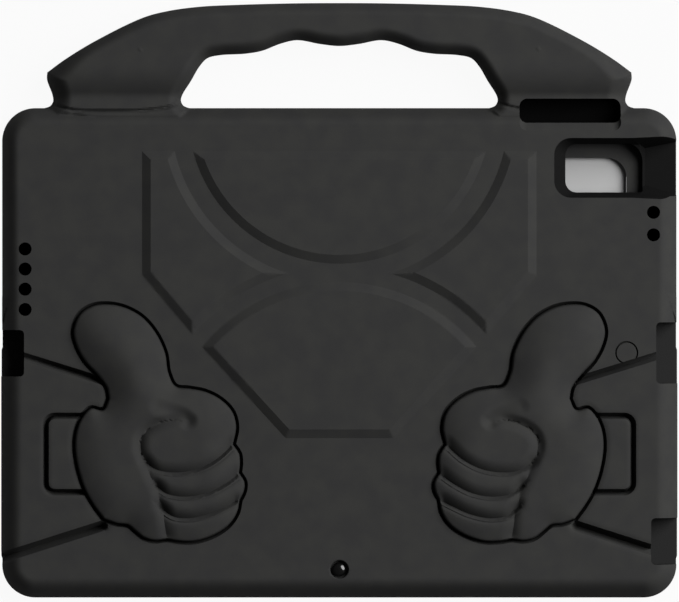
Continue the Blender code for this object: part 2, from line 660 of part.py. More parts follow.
def make_ring_mark():
    """A fine ring cut round a flush disc."""
    x, y = HALF_WIDTH - RING_MARK_INSET, BOTTOM + RING_MARK_UP
    outer = RING_MARK_RADIUS
    inner = outer - RING_MARK_WIDTH
    data = bmesh.new()
    sections = [(inner, BACK + MM), (inner, BACK - RING_MARK_DEPTH), (outer, BACK - RING_MARK_DEPTH),
                (outer, BACK + MM)]
    count = 28
    circle = arc(0, 0, 1, 0, 360 - 360 / count, count - 1)
    loops = [[data.verts.new((x + r * cx, y + r * cy, z)) for cx, cy in circle] for r, z in sections]
    for first, second in zip(loops, loops[1:] + loops[:1]):
        for i in range(count):
            j = (i + 1) % count
            data.faces.new((first[i], first[j], second[j], second[i]))
    return make_object("ring_mark", data)


# Stud

def stud_profile(gap):
    """The stud's head, stem and barb as (radius, height) points, grown by a gap."""
    seat = BACK - STUD_RECESS_DEPTH
    foot = seat - STUD_STEM_LENGTH
    barb = foot + 2 * MM
    head = STUD_RECESS_RADIUS if gap else STUD_HEAD_RADIUS
    profile = [(STUD_STEM_RADIUS * 0.7 + gap, foot - gap), (STUD_BARB_RADIUS + gap, barb - gap),
               (STUD_BARB_RADIUS + gap, barb + 0.6 * MM + gap), (STUD_STEM_RADIUS + gap, barb + 0.6 * MM + gap)]
    if gap:
        return profile + [(STUD_STEM_RADIUS + gap, seat), (head, seat), (head, BACK + MM)]
    seat += STUD_CLEARANCE
    profile += [(STUD_STEM_RADIUS, seat), (head, seat)]
    edge = BACK - 0.4 * MM - STUD_DOME
    for angle in (0, 22.5, 45, 67.5):
        profile.append((head * cos(radians(angle)), edge + STUD_DOME * sin(radians(angle))))
    return profile


def make_stud(material):
    solid = turned("round_stud", stud_profile(0), (0, BOTTOM + STUD_UP))
    solid.data.materials.append(material)
    return solid


# Assembly

def new_material(name, colour, roughness):
    material = bpy.data.materials.new(name)
    material.use_nodes = True
    shader = material.node_tree.nodes["Principled BSDF"]
    shader.inputs["Base Color"].default_value = (*colour, 1)
    shader.inputs["Roughness"].default_value = roughness
    shader.inputs["Metallic"].default_value = 0
    return material


def combine(solid, helpers, operation):
    """Adds helper solids to a solid, or cuts them from it."""
    for helper in helpers:
        helper.hide_render = True
        helper.display_type = 'WIRE'
        modifier = solid.modifiers.new(helper.name, 'BOOLEAN')
        modifier.operation = operation
        modifier.solver = 'EXACT'
        modifier.object = helper


def make_case():
    foam = new_material("eva_foam", (0.036, 0.036, 0.038), 0.85)
    gloss = new_material("gloss_plastic", (0.01, 0.01, 0.011), 0.12)
    case = make_shell()
    case.data.materials.append(foam)
    added = [make_handle()] + make_pattern()
    for side in (-1, 1):
        added.append(make_sleeve(side))
    combine(case, added, 'UNION')
    combine(case, make_grooves(), 'DIFFERENCE')
    combine(case, [make_fist(-1), make_fist(1)], 'UNION')
    cuts = make_pocket() + make_window() + make_slot() + [make_ring_mark()]
    for up in SPEAKER_HOLES:
        cuts += make_sound_hole(-1, up)
    for up in MICROPHONE_HOLES:
        cuts += make_sound_hole(1, up)
    cuts += make_notch(-1, PORT_NOTCH, PORT_PASSAGE) + make_notch(1, MIDDLE_NOTCH, 0)
    cuts += make_notch(1, JACK_NOTCH, JACK_PASSAGE)
    cuts.append(turned("stud_recess", stud_profile(STUD_CLEARANCE), (0, BOTTOM + STUD_UP)))
    combine(case, cuts, 'DIFFERENCE')
    make_stud(gloss)


def clear_scene():
    for old in list(bpy.data.objects):
        bpy.data.objects.remove(old, do_unlink=True)


clear_scene()
make_case()
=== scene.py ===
import bmesh
import bpy
import numpy as np
from math import cos, hypot, radians, sin
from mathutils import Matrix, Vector
from mathutils.geometry import delaunay_2d_cdt


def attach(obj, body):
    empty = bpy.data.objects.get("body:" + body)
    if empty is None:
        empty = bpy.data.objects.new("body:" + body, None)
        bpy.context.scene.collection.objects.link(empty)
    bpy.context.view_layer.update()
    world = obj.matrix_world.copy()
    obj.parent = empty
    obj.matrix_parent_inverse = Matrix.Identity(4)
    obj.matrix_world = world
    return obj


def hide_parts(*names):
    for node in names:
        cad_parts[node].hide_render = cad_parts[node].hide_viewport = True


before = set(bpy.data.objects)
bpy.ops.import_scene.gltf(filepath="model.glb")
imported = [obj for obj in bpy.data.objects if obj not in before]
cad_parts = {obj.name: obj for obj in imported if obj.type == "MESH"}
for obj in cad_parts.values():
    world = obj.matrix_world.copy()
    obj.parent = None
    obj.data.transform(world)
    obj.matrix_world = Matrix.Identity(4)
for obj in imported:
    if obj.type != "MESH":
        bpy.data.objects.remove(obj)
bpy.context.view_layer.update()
mm = 0.001
batch = 3000  # points that are measured at a time
print("frame loaded")


# Curves and distances in plan

def arcPoints(cx, cy, radius, start, end, count):
    turns = [radians(start + (end - start) * i / count) for i in range(count + 1)]
    return [(cx + radius * cos(a), cy + radius * sin(a)) for a in turns]


def smoothCurve(points, step):  # centripetal Catmull-Rom through the points
    p = np.array(points, dtype=float)
    p = np.vstack([2 * p[0] - p[1], p, 2 * p[-1] - p[-2]])
    curve = [tuple(p[1])]
    for a, b, c, d in zip(p, p[1:], p[2:], p[3:]):
        t1 = np.linalg.norm(b - a) ** 0.5
        t2 = t1 + np.linalg.norm(c - b) ** 0.5
        t3 = t2 + np.linalg.norm(d - c) ** 0.5
        count = max(1, round(np.linalg.norm(c - b) / step))
        for i in range(1, count + 1):
            t = t1 + (t2 - t1) * i / count
            ab = a + (b - a) * t / t1
            bc = b + (c - b) * (t - t1) / (t2 - t1)
            cd = c + (d - c) * (t - t2) / (t3 - t2)
            abc = ab + (bc - ab) * t / t2
            bcd = bc + (cd - bc) * (t - t1) / (t3 - t1)
            curve.append(tuple(abc + (bcd - abc) * (t - t1) / (t2 - t1)))
    return curve


def straightRun(points, step):  # the same corners with points between them
    run = []
    for a, b in zip(points, points[1:]):
        count = max(1, round(hypot(b[0] - a[0], b[1] - a[1]) / step))
        run += [(a[0] + (b[0] - a[0]) * i / count, a[1] + (b[1] - a[1]) * i / count) for i in range(count)]
    return run + [points[-1]]


def roundedBox(left, right, bottom, top, r, count=8):
    centres = ((right - r, top - r), (left + r, top - r), (left + r, bottom + r), (right - r, bottom + r))
    return [p for i, (x, y) in enumerate(centres) for p in arcPoints(x, y, r, 90 * i, 90 * i + 90, count)]


def isClockwise(line):
    x, y = np.array(line).T
    return (x * np.roll(y, -1) - np.roll(x, -1) * y).sum() < 0


def leftNormals(line, closed=False):
    p = np.array(line)
    if closed:
        along = np.roll(p, -1, axis=0) - p
        along /= np.linalg.norm(along, axis=1)[:, None]
        along = along + np.roll(along, 1, axis=0)
    else:
        along = np.gradient(p, axis=0)
    along /= np.linalg.norm(along, axis=1)[:, None]
    return np.column_stack([-along[:, 1], along[:, 0]])


def shifted(line, distance, closed=False):  # moved to its left, with its corners kept sharp
    p = np.array(line)
    normal = leftNormals(p, closed)
    if not closed:
        return p + normal * distance
    edge = np.roll(p, -1, axis=0) - p
    edge /= np.linalg.norm(edge, axis=1)[:, None]
    lean = np.abs(normal[:, 0] * -edge[:, 1] + normal[:, 1] * edge[:, 0])
    return p + normal * (distance / np.maximum(lean, 0.2))[:, None]


def nearest(points, line, closed=False):  # distance, side (1 is left) and place along the line
    start = np.array(line, dtype=float)
    end = np.roll(start, -1, axis=0)
    if not closed:
        start, end = start[:-1], end[:-1]
    span = end - start
    length = np.hypot(span[:, 0], span[:, 1])
    before = np.concatenate([[0], np.cumsum(length)[:-1]])
    found = []
    for first in range(0, len(points), batch):
        offset = points[first:first + batch, None, :] - start
        share = np.clip((offset * span).sum(axis=2) / length ** 2, 0, 1)
        squared = ((offset - share[..., None] * span) ** 2).sum(axis=2)
        best = squared.argmin(axis=1)
        row = np.arange(len(best))
        turn = span[best, 0] * offset[row, best, 1] - span[best, 1] * offset[row, best, 0]
        found.append(np.column_stack([np.sqrt(squared[row, best]), np.sign(turn),
                                      before[best] + share[row, best] * length[best]]))
    return np.vstack(found).T if found else np.zeros((3, 0))


def isInside(points, outline):
    a = np.array(outline)
    b = np.roll(a, -1, axis=0)
    rise = np.where(b[:, 1] == a[:, 1], 1, b[:, 1] - a[:, 1])
    found = []
    for first in range(0, len(points), batch):
        p = points[first:first + batch]
        crosses = (a[:, 1] > p[:, None, 1]) != (b[:, 1] > p[:, None, 1])
        x = a[:, 0] + (p[:, None, 1] - a[:, 1]) / rise * (b[:, 0] - a[:, 0])
        found.append((crosses & (p[:, None, 0] < x)).sum(axis=1) % 2 == 1)
    return np.concatenate(found) if found else np.zeros(0, dtype=bool)


def softDistance(points, outline):  # distance inside an outline, without a ridge down its middle
    start = np.array(outline, dtype=float)
    end = np.roll(start, -1, axis=0)
    length = np.linalg.norm(end - start, axis=1)
    middle = (start + end) / 2
    found = []
    for first in range(0, len(points), batch):
        squared = ((points[first:first + batch, None, :] - middle) ** 2).sum(axis=2)
        pull = (length / np.maximum(squared, 0.01) ** 2.5).sum(axis=1)
        found.append((pull * 0.75) ** -0.25)
    return np.concatenate(found)


def roundDrop(distance, radius):  # how far a rounded edge has dropped at a distance in from it
    reach = np.clip(radius - distance, 0, radius)
    return radius - np.sqrt(np.maximum(radius ** 2 - reach ** 2, 0))


def falloff(distance, reach, power=1):  # 1 on a line, and 0 from its reach on
    return np.clip(1 - distance / reach, 0, 1) ** power


def ramp(value, start, end):
    share = np.clip((value - start) / (end - start), 0, 1)
    return share * share * (3 - 2 * share)


# Shell: its plan outline and its back

shell = {
    "halfWidth": 139.5, "top": 79.6, "bottom": -122.9, "corner": 13.7, "back": 18.9,
    "edgeAtTop": 7.2, "edgeAtBottom": 8.6, "frontEdge": 4.0, "outlineStep": 1.2,
    "edgeRings": (0.05, 0.2, 0.45, 0.8, 1.2, 1.65), "frontRings": (0.1, 0.5, 1.2, 2.4, 4.0),
    # a flank falls by its reach times the fall, or the deepest, with a knee of this power
    "flankFall": 1.4, "flankDeepest": 10.6, "flankKnee": 2.1, "slopeOutside": 6, "edgeZone": 12,
}
handle = {  # millimetres from the centre line and up from the shell's top edge
    "crest": [(0, 43.3), (-17.5, 43.2), (-41.1, 42.6), (-57.6, 41.8), (-70.9, 40.0), (-81.0, 37.3),
              (-100.7, 27.7), (-113.9, 19.7), (-120.8, 14.7)],
    "side": [(-120.8, 14.7), (-120.9, 11.8), (-118.8, 5.6), (-118.5, 3.0), (-119.6, 1.0), (-122.0, 0.0)],
    "grip": [(-62.0, 0.0), (-64.4, 0.9), (-65.6, 3.0), (-65.2, 5.2), (-61.4, 11.4), (-58.0, 17.2),
             (-54.7, 20.7), (-49.3, 22.0), (-39.0, 22.6), (-32.0, 23.8), (-24.5, 26.7), (-17.5, 28.2),
             (-7.9, 26.6), (0, 25.8)],
    "proud": 3.0, "neckDrop": 2.6, "neckLow": 3.8, "neckSteep": 6.6, "neckHigh": 17.5, "neckLift": 0.9,
    "edge": 5.2, "footEdge": 8.8, "footEdgeFrom": (96, 116), "footEdgeUntil": (10, 26),
    "frontGap": 0.5, "frontGapFrom": (-1, 3), "sunk": 8, "lowest": -6,
    "crease": [(-118.2, 2.7), (-116.4, 0.9), (-110.6, -0.8), (-94.0, -1.4), (-77.5, -0.8), (-69.0, 0.9),
               (-65.4, 2.9)],
    "creaseDepth": 1.6, "creaseReach": 1.1, "creaseStep": 0.8,
    "gateMarks": [(-82.1, 23.8), (82.1, 24.2)], "gateMarkRise": 0.35, "gateMarkEdge": (0.2, 0.9),
}


def mirrored(points):
    return [(-x, y) for x, y in points[::-1]]


def raised(points):
    return [(x, y + shell["top"]) for x, y in points]


def handleRuns():
    step = shell["outlineStep"]
    crest = smoothCurve(mirrored(handle["crest"])[:-1] + handle["crest"], step)
    grip = smoothCurve(handle["grip"] + mirrored(handle["grip"])[1:], step)
    side = smoothCurve(handle["side"], step * 0.5)
    return raised(crest), raised(side), raised(grip)


def planOutlines():
    crest, side, grip = handleRuns()
    step = shell["outlineStep"]
    w, top, bottom, r = (shell[key] for key in ("halfWidth", "top", "bottom", "corner"))
    left = [side[-1]] + arcPoints(-w + r, top - r, r, 90, 180, 20)
    left = straightRun(left + arcPoints(-w + r, bottom + r, r, 180, 270, 20) + [(0, bottom)], step)
    x, y = np.array(left).T
    v = y - bottom
    inSleeve = ramp(v, *arms["sleeveStart"]) * (1 - ramp(v, *arms["sleeveEnd"]))
    x = np.where(x < -w + 1, x - arms["proud"] * inSleeve, x)
    left = list(zip(x, y))
    outer = left + mirrored(left)[1:] + mirrored(side)[1:] + crest[1:-1] + side[:-1]
    hole = straightRun([grip[-1], grip[0]], step)[:-1] + grip[:-1]
    sunk = top - handle["sunk"]  # the handle's feet reach down into the shell
    foot = side + [(side[-1][0], sunk), (grip[0][0], sunk)] + grip
    foot = foot + [(grip[-1][0], sunk), (-side[-1][0], sunk)] + mirrored(side) + crest[1:-1]
    return outer, hole, foot


def shellDistance(points):  # how far inside the rounded rectangle, negative outside
    w, top, bottom, r = (shell[key] for key in ("halfWidth", "top", "bottom", "corner"))
    qx = np.abs(points[:, 0]) - (w - r)
    qy = np.abs(points[:, 1] - (top + bottom) / 2) - ((top - bottom) / 2 - r)
    return r - np.hypot(np.maximum(qx, 0), np.maximum(qy, 0)) - np.minimum(np.maximum(qx, qy), 0)


def flankDrop(distance, reach):  # a knee that turns soon into a steep flank
    drop = np.minimum(reach * shell["flankFall"], shell["flankDeepest"])
    return drop * falloff(distance, reach, shell["flankKnee"])


def shellHeight(points):
    share = np.clip((points[:, 1] - shell["bottom"]) / (shell["top"] - shell["bottom"]), 0, 1)
    radius = shell["edgeAtBottom"] + (shell["edgeAtTop"] - shell["edgeAtBottom"]) * share
    inside = shellDistance(points)
    beyond = shell["slopeOutside"] * np.minimum(inside, 0)
    return shell["back"] - flankDrop(np.maximum(inside, 0), radius) + beyond


def neckRise(up):  # 0 to 1 up the neck, steepest near its foot
    low, steep, high = handle["neckLow"], handle["neckSteep"], handle["neckHigh"]
    first = np.clip(up - low, 0, steep - low) ** 2 / (steep - low)
    rest = np.clip(up - steep, 0, high - steep)
    return (first + 2 * rest - rest ** 2 / (high - steep)) / (high - low)


def handleHeight(points):
    up = points[:, 1] - shell["top"]
    edge = nearest(points, footOutline, True)[0]
    outerSide = ramp(np.abs(points[:, 0]), *handle["footEdgeFrom"]) * (1 - ramp(up, *handle["footEdgeUntil"]))
    radius = handle["edge"] + (handle["footEdge"] - handle["edge"]) * outerSide
    crown = shell["back"] - handle["neckDrop"] + (handle["neckDrop"] + handle["proud"]) * neckRise(up)
    crown = crown + handle["neckLift"] * (1 - ramp(up, -1, handle["neckLow"]))
    for x, y in handle["gateMarks"]:
        away = np.hypot(points[:, 0] - x, up - y)
        crown = crown + handle["gateMarkRise"] * (1 - ramp(away, *handle["gateMarkEdge"]))
    return crown - flankDrop(edge, radius)


# Raised pattern, a crown, two wings and a diamond. Each field is a distance in from its edges.

pattern = {
    "rise": 2.1, "bevel": 3.6, "cut": 19.7, "crownCentre": 1.9, "crownRadius": 60.7, "channel": 10.9,
    "lensCentre": 145.5, "lensRadius": 81.6, "diamondRadius": 71.7,
    "wingSide": (79.6, 68.4), "wingFoot": (58.9, 92.9), "diamondTip": (54.3, 98.7),
    "diamondFoot": (21.4, 134.6), "step": 0.8, "halfSpan": 90, "fromTop": 12,
}


def besideLine(x, down, a, b):  # distance from a line through two (x, down) places, towards the middle
    length = hypot(b[0] - a[0], b[1] - a[1])
    return ((x - a[0]) * (b[1] - a[1]) - (down - a[1]) * (b[0] - a[0])) / length


def patternHeight(points):
    p = pattern
    x = np.abs(points[:, 0])
    down = shell["top"] - points[:, 1]
    toCrown = np.hypot(x, down - p["crownCentre"])
    toLens = np.hypot(x, down - p["lensCentre"])
    crown = np.minimum(p["crownRadius"] - toCrown, down - p["cut"])
    wing = np.minimum.reduce([p["wingSide"][0] - x, down - p["cut"], toLens - p["lensRadius"],
                              -besideLine(x, down, p["wingSide"], p["wingFoot"]),
                              toCrown - p["crownRadius"] - p["channel"]])
    diamond = np.minimum.reduce([p["diamondRadius"] - toLens, p["diamondFoot"][1] - down,
                                 -besideLine(x, down, p["diamondTip"], p["diamondFoot"])])
    field = np.maximum.reduce([crown, wing, diamond])
    return p["rise"] * np.clip(field / p["bevel"] + 0.5, 0, 1)


def patternOutlines():
    p = pattern
    top, step = shell["top"], pattern["step"]

    def circleArc(down, radius, fromX, toX, lower):
        first, last = np.arcsin(fromX / radius), np.arcsin(toX / radius)
        count = max(2, round(abs(last - first) * radius / step))
        turns = np.linspace(first, last, count)
        sign = -1 if lower else 1
        return [(radius * sin(a), top - down + sign * radius * cos(a)) for a in turns]

    below = p["cut"] - p["crownCentre"]
    crownHalf = (p["crownRadius"] ** 2 - below ** 2) ** 0.5
    crown = circleArc(p["crownCentre"], p["crownRadius"], -crownHalf, crownHalf, True)
    crown = crown + straightRun([crown[-1], crown[0]], step)[1:-1]
    inner = p["crownRadius"] + p["channel"]
    innerHalf = (inner ** 2 - below ** 2) ** 0.5
    span = p["lensCentre"] - p["crownCentre"]
    meetUp = (span ** 2 + p["lensRadius"] ** 2 - inner ** 2) / (2 * span)
    meetX = (p["lensRadius"] ** 2 - meetUp ** 2) ** 0.5
    lens = circleArc(p["lensCentre"], p["lensRadius"], -p["wingFoot"][0], -meetX, False)
    wing = straightRun([(-innerHalf, top - p["cut"]), (-p["wingSide"][0], top - p["cut"]),
                        (-p["wingSide"][0], top - p["wingSide"][1]), lens[0]], step)[:-1]
    wing = wing + lens + circleArc(p["crownCentre"], inner, -meetX, -innerHalf, True)[1:-1]
    tip, foot = p["diamondTip"], p["diamondFoot"]
    diamond = circleArc(p["lensCentre"], p["diamondRadius"], tip[0], -tip[0], False)
    diamond = diamond + straightRun([diamond[-1], (-foot[0], top - foot[1]), (foot[0], top - foot[1]),
                                     diamond[0]], step)[1:-1]
    return [crown, wing, mirrored(wing), diamond]


# Arms, in millimetres from the shell's side and up from its lower edge

arms = {
    "rise": 0.6, "proud": 0.4, "outerEdge": 9.0, "step": 0.6, "cuffStep": 0.8,
    "reach": 104, "lowest": 8, "highest": 125, "sleeveStart": (16.3, 16.9), "sleeveEnd": (102.4, 103.0),
    "upperLine": [(-3.0, 103.6), (47.6, 87.9)], "lowerLine": [(-3.0, 15.7), (41.6, 29.9)],
    "cuff": (18.3, 40.0, 43.8, 75.3), "cuffCorner": 3.7,
    # each groove: its shoulder's half width and depth, then its core's
    "upperGroove": (2.6, 1.0, 1.7, 5.8), "lowerGroove": (4.3, 1.6, 2.2, 6.0),
    "cuffGroove": (2.6, 0.9, 1.35, 5.4), "upperAtSide": 0.65, "upperFullFrom": (10, 30),
    "grooveFloor": 6.2, "footDrop": 1.0, "footReach": 3.2,
}
fist = {
    # thumb and fingers: how high they swell, and how far in from their rim
    "thumb": (6.9, 23.0), "fingers": (3.9, 14.5), "thumbFrom": (68, 94), "fullness": 1.9,
    "wall": 1.5, "rim": 1.0, "crevice": 4.6, "creviceHalf": 1.15, "evenFrom": (1.0, 2.4), "cutFade": 2.4,
    "outline": [
        [(44.2, 82.4), (43.3, 86.9), (39.7, 91.9), (34.4, 97.7), (30.8, 104.3), (29.6, 110.5), (32.3, 117.4),
         (37.3, 120.7), (43.1, 121.5), (50.5, 120.3), (58.0, 116.3), (63.8, 109.7), (67.7, 101.4),
         (69.1, 93.1), (72.0, 87.6), (77.8, 86.7), (84.5, 85.3), (91.1, 81.8), (95.6, 76.8), (97.1, 70.8),
         (95.8, 63.5)],
        [(95.8, 63.5), (98.3, 59.6), (98.7, 55.5), (98.3, 51.8)],
        [(98.3, 51.8), (100.5, 48.0), (100.3, 44.3), (98.5, 40.4)],
        [(98.5, 40.4), (97.5, 35.6), (94.4, 30.6), (88.6, 26.3), (80.3, 23.4), (73.7, 23.3), (68.3, 24.2)],
        [(68.3, 24.2), (63.3, 23.6), (58.8, 24.8), (55.1, 27.7), (52.2, 30.0), (47.6, 30.6), (42.2, 32.5)],
        [(42.2, 32.5), (37.7, 38.7), (34.2, 45.1), (31.5, 53.4), (30.2, 62.1), (30.8, 69.1), (33.1, 74.7),
         (36.8, 78.5), (41.8, 77.9), (44.2, 82.4)],
    ],
    "fingerCreases": [
        [(95.4, 63.3), (88.6, 57.3), (81.0, 53.4), (72.5, 52.0), (64.6, 53.0), (59.6, 56.3), (57.1, 62.5),
         (58.6, 67.9), (63.8, 71.8), (70.4, 73.6), (76.0, 72.5)],
        [(98.1, 51.3), (91.9, 47.0), (84.9, 43.5), (76.6, 42.0), (68.7, 43.1), (63.8, 46.4)],
        [(96.9, 40.0), (92.7, 37.9), (85.7, 34.8), (77.8, 33.1), (70.8, 33.9), (65.4, 37.7)],
    ],
    "palmCrease": [(59.8, 56.0), (60.9, 52.6), (62.0, 49.6), (64.3, 47.0), (64.9, 43.6), (65.6, 39.6),
                   (66.9, 37.0), (67.3, 32.0), (68.3, 25.3)],
    "hollow": [(65.0, 79.0), (68.2, 77.8), (71.6, 76.5), (75.1, 75.0), (77.2, 73.4)],
    "creaseDepth": 2.9, "creaseRoll": 5.0, "creaseLip": 1.3, "creaseStep": 0.9,
    "creaseEnd": 7, "creaseEndFade": 0.75, "tipFrom": (34, 42), "tipFlatter": 0.35, "tipWider": 2.0,
    "lineAt": 1.8, "lineDepth": 0.4, "lineHalf": 0.7, "lineEnd": (30, 36),
    "rimStep": 0.6, "lineStep": 0.7, "rimRows": (0.12, 0.35, 0.7, 1.1, -0.45, -0.85, -1.15),
    "creaseRows": (0, 0.45, -0.45, 1.3, 1.8, 2.4, -1.1),
    "palmDepth": 1.5, "palmReach": 4.2, "fingerEndReach": 5.2,
    "hollowDepth": 1.9, "hollowReach": 4.6, "hollowStart": 0.45, "hollowFullAt": 12,
}
fistOutline = [point for run in fist["outline"] for point in smoothCurve(run, fist["rimStep"])[:-1]]
fingerCreases = [smoothCurve(line, fist["lineStep"]) for line in fist["fingerCreases"]]
palmCrease = smoothCurve(fist["palmCrease"], fist["lineStep"])
hollowLine = smoothCurve(fist["hollow"], fist["lineStep"])


def cuffLine():
    left, right, low, high = arms["cuff"]
    corner = arms["cuffCorner"]
    line = [(right, high)] + arcPoints(left + corner, high - corner, corner, 90, 180, 8)
    line = line + arcPoints(left + corner, low + corner, corner, 180, 270, 8) + [(right, low)]
    return straightRun(line, arms["cuffStep"])


def grooveDepth(distance, shape):
    wide, shallow, narrow, deep = shape
    return deep * falloff(distance, narrow, 0.8) + shallow * falloff(distance, wide, 2)


def panelOutline():  # the sleeve's panel, between the middles of its two grooves
    return [arms["upperLine"][0], arms["lowerLine"][0], arms["lowerLine"][1], arms["upperLine"][1]]


def sleeveHeight(local):
    distance, side, _ = nearest(local, panelOutline(), True)
    fromEdge = np.maximum(local[:, 0] + arms["proud"], 0)
    height = shell["back"] + arms["rise"] - flankDrop(fromEdge, arms["outerEdge"])
    return np.where(distance * side > -0.2, height, 0)


def armGrooves(local):
    share = arms["upperAtSide"] + (1 - arms["upperAtSide"]) * ramp(local[:, 0], *arms["upperFullFrom"])
    depth = grooveDepth(nearest(local, arms["upperLine"])[0], arms["upperGroove"]) * share
    depth = np.maximum(depth, grooveDepth(nearest(local, arms["lowerLine"])[0], arms["lowerGroove"]))
    return np.maximum(depth, grooveDepth(nearest(local, cuffLine())[0], arms["cuffGroove"]))


def fistHeight(local):
    edge = nearest(local, fistOutline, True)[0]
    soft = softDistance(local, fistOutline)
    depth = edge + (soft - edge) * ramp(edge, *fist["evenFrom"])
    towardsThumb = ramp(local[:, 1], *fist["thumbFrom"])
    swell, rounding = (a + (b - a) * towardsThumb for a, b in zip(fist["fingers"], fist["thumb"]))
    dome = swell * (1 - (1 - np.clip(depth / rounding, 0, 1)) ** fist["fullness"])
    steep = 1 - np.clip(edge / fist["rim"], 0, 1)
    dome = dome + fist["wall"] - (fist["wall"] + fist["crevice"]) * steep ** 3
    fade = np.clip(edge / fist["cutFade"], 0, 1) ** 0.5
    for number, line in enumerate(fingerCreases):
        distance, side, along = nearest(local, line)
        roll = falloff(distance, fist["creaseRoll"], 2)
        overTip = ramp(along, *fist["tipFrom"]) if number == 0 else np.zeros(len(local))
        lip = (fist["creaseDepth"] - fist["creaseStep"]) * (1 - fist["tipFlatter"] * overTip)
        lip = lip * (1 - ramp(distance / (fist["creaseLip"] + fist["tipWider"] * overTip), 0, 1))
        lip = lip + fist["creaseStep"] * roll
        thin = fist["lineDepth"] * falloff(np.abs(distance - fist["lineAt"]), fist["lineHalf"])
        lip = lip + thin * (1 - ramp(along, *fist["lineEnd"]))
        cut = np.where(side < 0, fist["creaseDepth"] * roll, lip) * fade
        if number == 0:  # the index finger's crease fades out in the hollow above it
            last = along.max()
            cut = cut * (1 - fist["creaseEndFade"] * ramp(along, last - fist["creaseEnd"], last))
        dome = dome - cut
    distance, side, _ = nearest(local, palmCrease)
    reach = np.where(side > 0, fist["fingerEndReach"], fist["palmReach"])
    dome = dome - fist["palmDepth"] * falloff(distance, reach, 2) * fade
    distance, _, along = nearest(local, hollowLine)
    near = 1 - ramp(distance, 0, fist["hollowReach"])
    share = fist["hollowStart"] + (1 - fist["hollowStart"]) * ramp(along, 0, fist["hollowFullAt"])
    return dome - fist["hollowDepth"] * near * share * fade


def addArms(points, height):
    local = np.column_stack([shell["halfWidth"] - np.abs(points[:, 0]), points[:, 1] - shell["bottom"]])
    near = (local[:, 0] < arms["reach"]) & (local[:, 1] > arms["lowest"]) & (local[:, 1] < arms["highest"])
    spot = local[near]
    sleeve = sleeveHeight(spot)
    made = np.maximum(height[near], sleeve)
    made = np.maximum(made - armGrooves(spot), np.minimum(made, arms["grooveFloor"]))
    toFist = nearest(spot, fistOutline, True)[0]
    made = made - np.where(sleeve > 0, arms["footDrop"] * falloff(toFist, arms["footReach"], 2), 0)
    made = made - fist["crevice"] * falloff(toFist, fist["creviceHalf"])
    inFist = isInside(spot, fistOutline)
    made[inFist] = shell["back"] + fistHeight(spot[inFist])
    height[near] = made
    return height


outerOutline, holeOutline, footOutline = planOutlines()
neckCreases = [smoothCurve(raised(handle["crease"]), handle["creaseStep"])]
neckCreases.append(mirrored(neckCreases[0]))


def backHeight(points):
    points = np.asarray(points, dtype=float)
    height = shellHeight(points)
    up = points[:, 1] - shell["top"]
    onHandle = up > handle["lowest"]
    spot = points[onHandle]
    raisedTo = np.where((up[onHandle] > 0) | isInside(spot, footOutline), handleHeight(spot), 0)
    merged = np.maximum(height[onHandle], raisedTo)
    for line in neckCreases:
        merged = merged - handle["creaseDepth"] * (1 - ramp(nearest(spot, line)[0], 0, handle["creaseReach"]))
    height[onHandle] = merged
    middle = (np.abs(points[:, 0]) < pattern["halfSpan"]) & (points[:, 1] < shell["top"] - pattern["fromTop"])
    height[middle] += patternHeight(points[middle])
    return addArms(points, height)


def rimDistance(points, every=1):  # to the outer outline or the hand hole's
    outer, hole = outerOutline[::every], holeOutline[::every]
    return np.minimum(nearest(points, outer, True)[0], nearest(points, hole, True)[0])


def frontHeight(points):
    points = np.asarray(points, dtype=float)
    edge = rimDistance(points)
    gap = handle["frontGap"] * ramp(points[:, 1] - shell["top"], *handle["frontGapFrom"])
    return gap + roundDrop(edge, shell["frontEdge"])


# Meshing: points lie closer where the surface bends more

meshing = {  # for a sheet: finest step, levels of doubling, most that a facet strays, gap to the rim
    "back": (0.6, 3, 0.034, 1.95), "front": (2.4, 3, 0.2, 4.2),
    "ringClear": 0.28, "fillClear": 0.36, "rimClear": 0.16, "creaseClear": 0.3, "grooveClear": 0.25,
    "offRim": 1.2, "grooveRows": (0.35, 0.75, 1), "materialSlots": 4,
}


def spread(values, reach):  # the highest value within a reach of grid steps
    for _ in range(reach):
        wide = values.copy()
        wide[1:] = np.maximum(wide[1:], values[:-1])
        wide[:-1] = np.maximum(wide[:-1], values[1:])
        values = wide.copy()
        values[:, 1:] = np.maximum(values[:, 1:], wide[:, :-1])
        values[:, :-1] = np.maximum(values[:, :-1], wide[:, 1:])
    return values


def gradedPoints(heightAt, step, levels, tolerance, rimGap):
    low = np.min(outerOutline, axis=0)
    high = np.max(outerOutline, axis=0)
    xs = np.arange(low[0], high[0], step)
    ys = np.arange(low[1], high[1], step)
    grid = np.stack(np.meshgrid(xs, ys, indexing="ij"), axis=-1)
    flat = grid.reshape(-1, 2)
    edge = rimDistance(flat, 3)
    inside = isInside(flat, outerOutline) & ~isInside(flat, holeOutline)
    height = np.zeros(len(flat))
    height[inside] = heightAt(flat[inside])
    height = height.reshape(grid.shape[:2])
    inner = (inside & (edge > rimGap)).reshape(height.shape)
    bend = np.zeros_like(height)
    for axis in (0, 1):
        h, ok = np.moveaxis(height, axis, 0), np.moveaxis(inner, axis, 0)
        second = np.abs(h[2:] + h[:-2] - 2 * h[1:-1]) * (ok[2:] & ok[:-2] & ok[1:-1])
        np.moveaxis(bend, axis, 0)[1:-1] += second
    chosen = np.zeros(height.shape, dtype=bool)
    i, j = np.indices(height.shape)
    for level in range(levels, -1, -1):
        stride = 2 ** level
        onLevel = (i % stride == 0) & (j % stride == 0)
        if level < levels:
            onLevel &= spread(bend, 2 * stride) * (2 * stride) ** 2 / 8 > tolerance
        chosen |= onLevel
    return grid[chosen & inner]


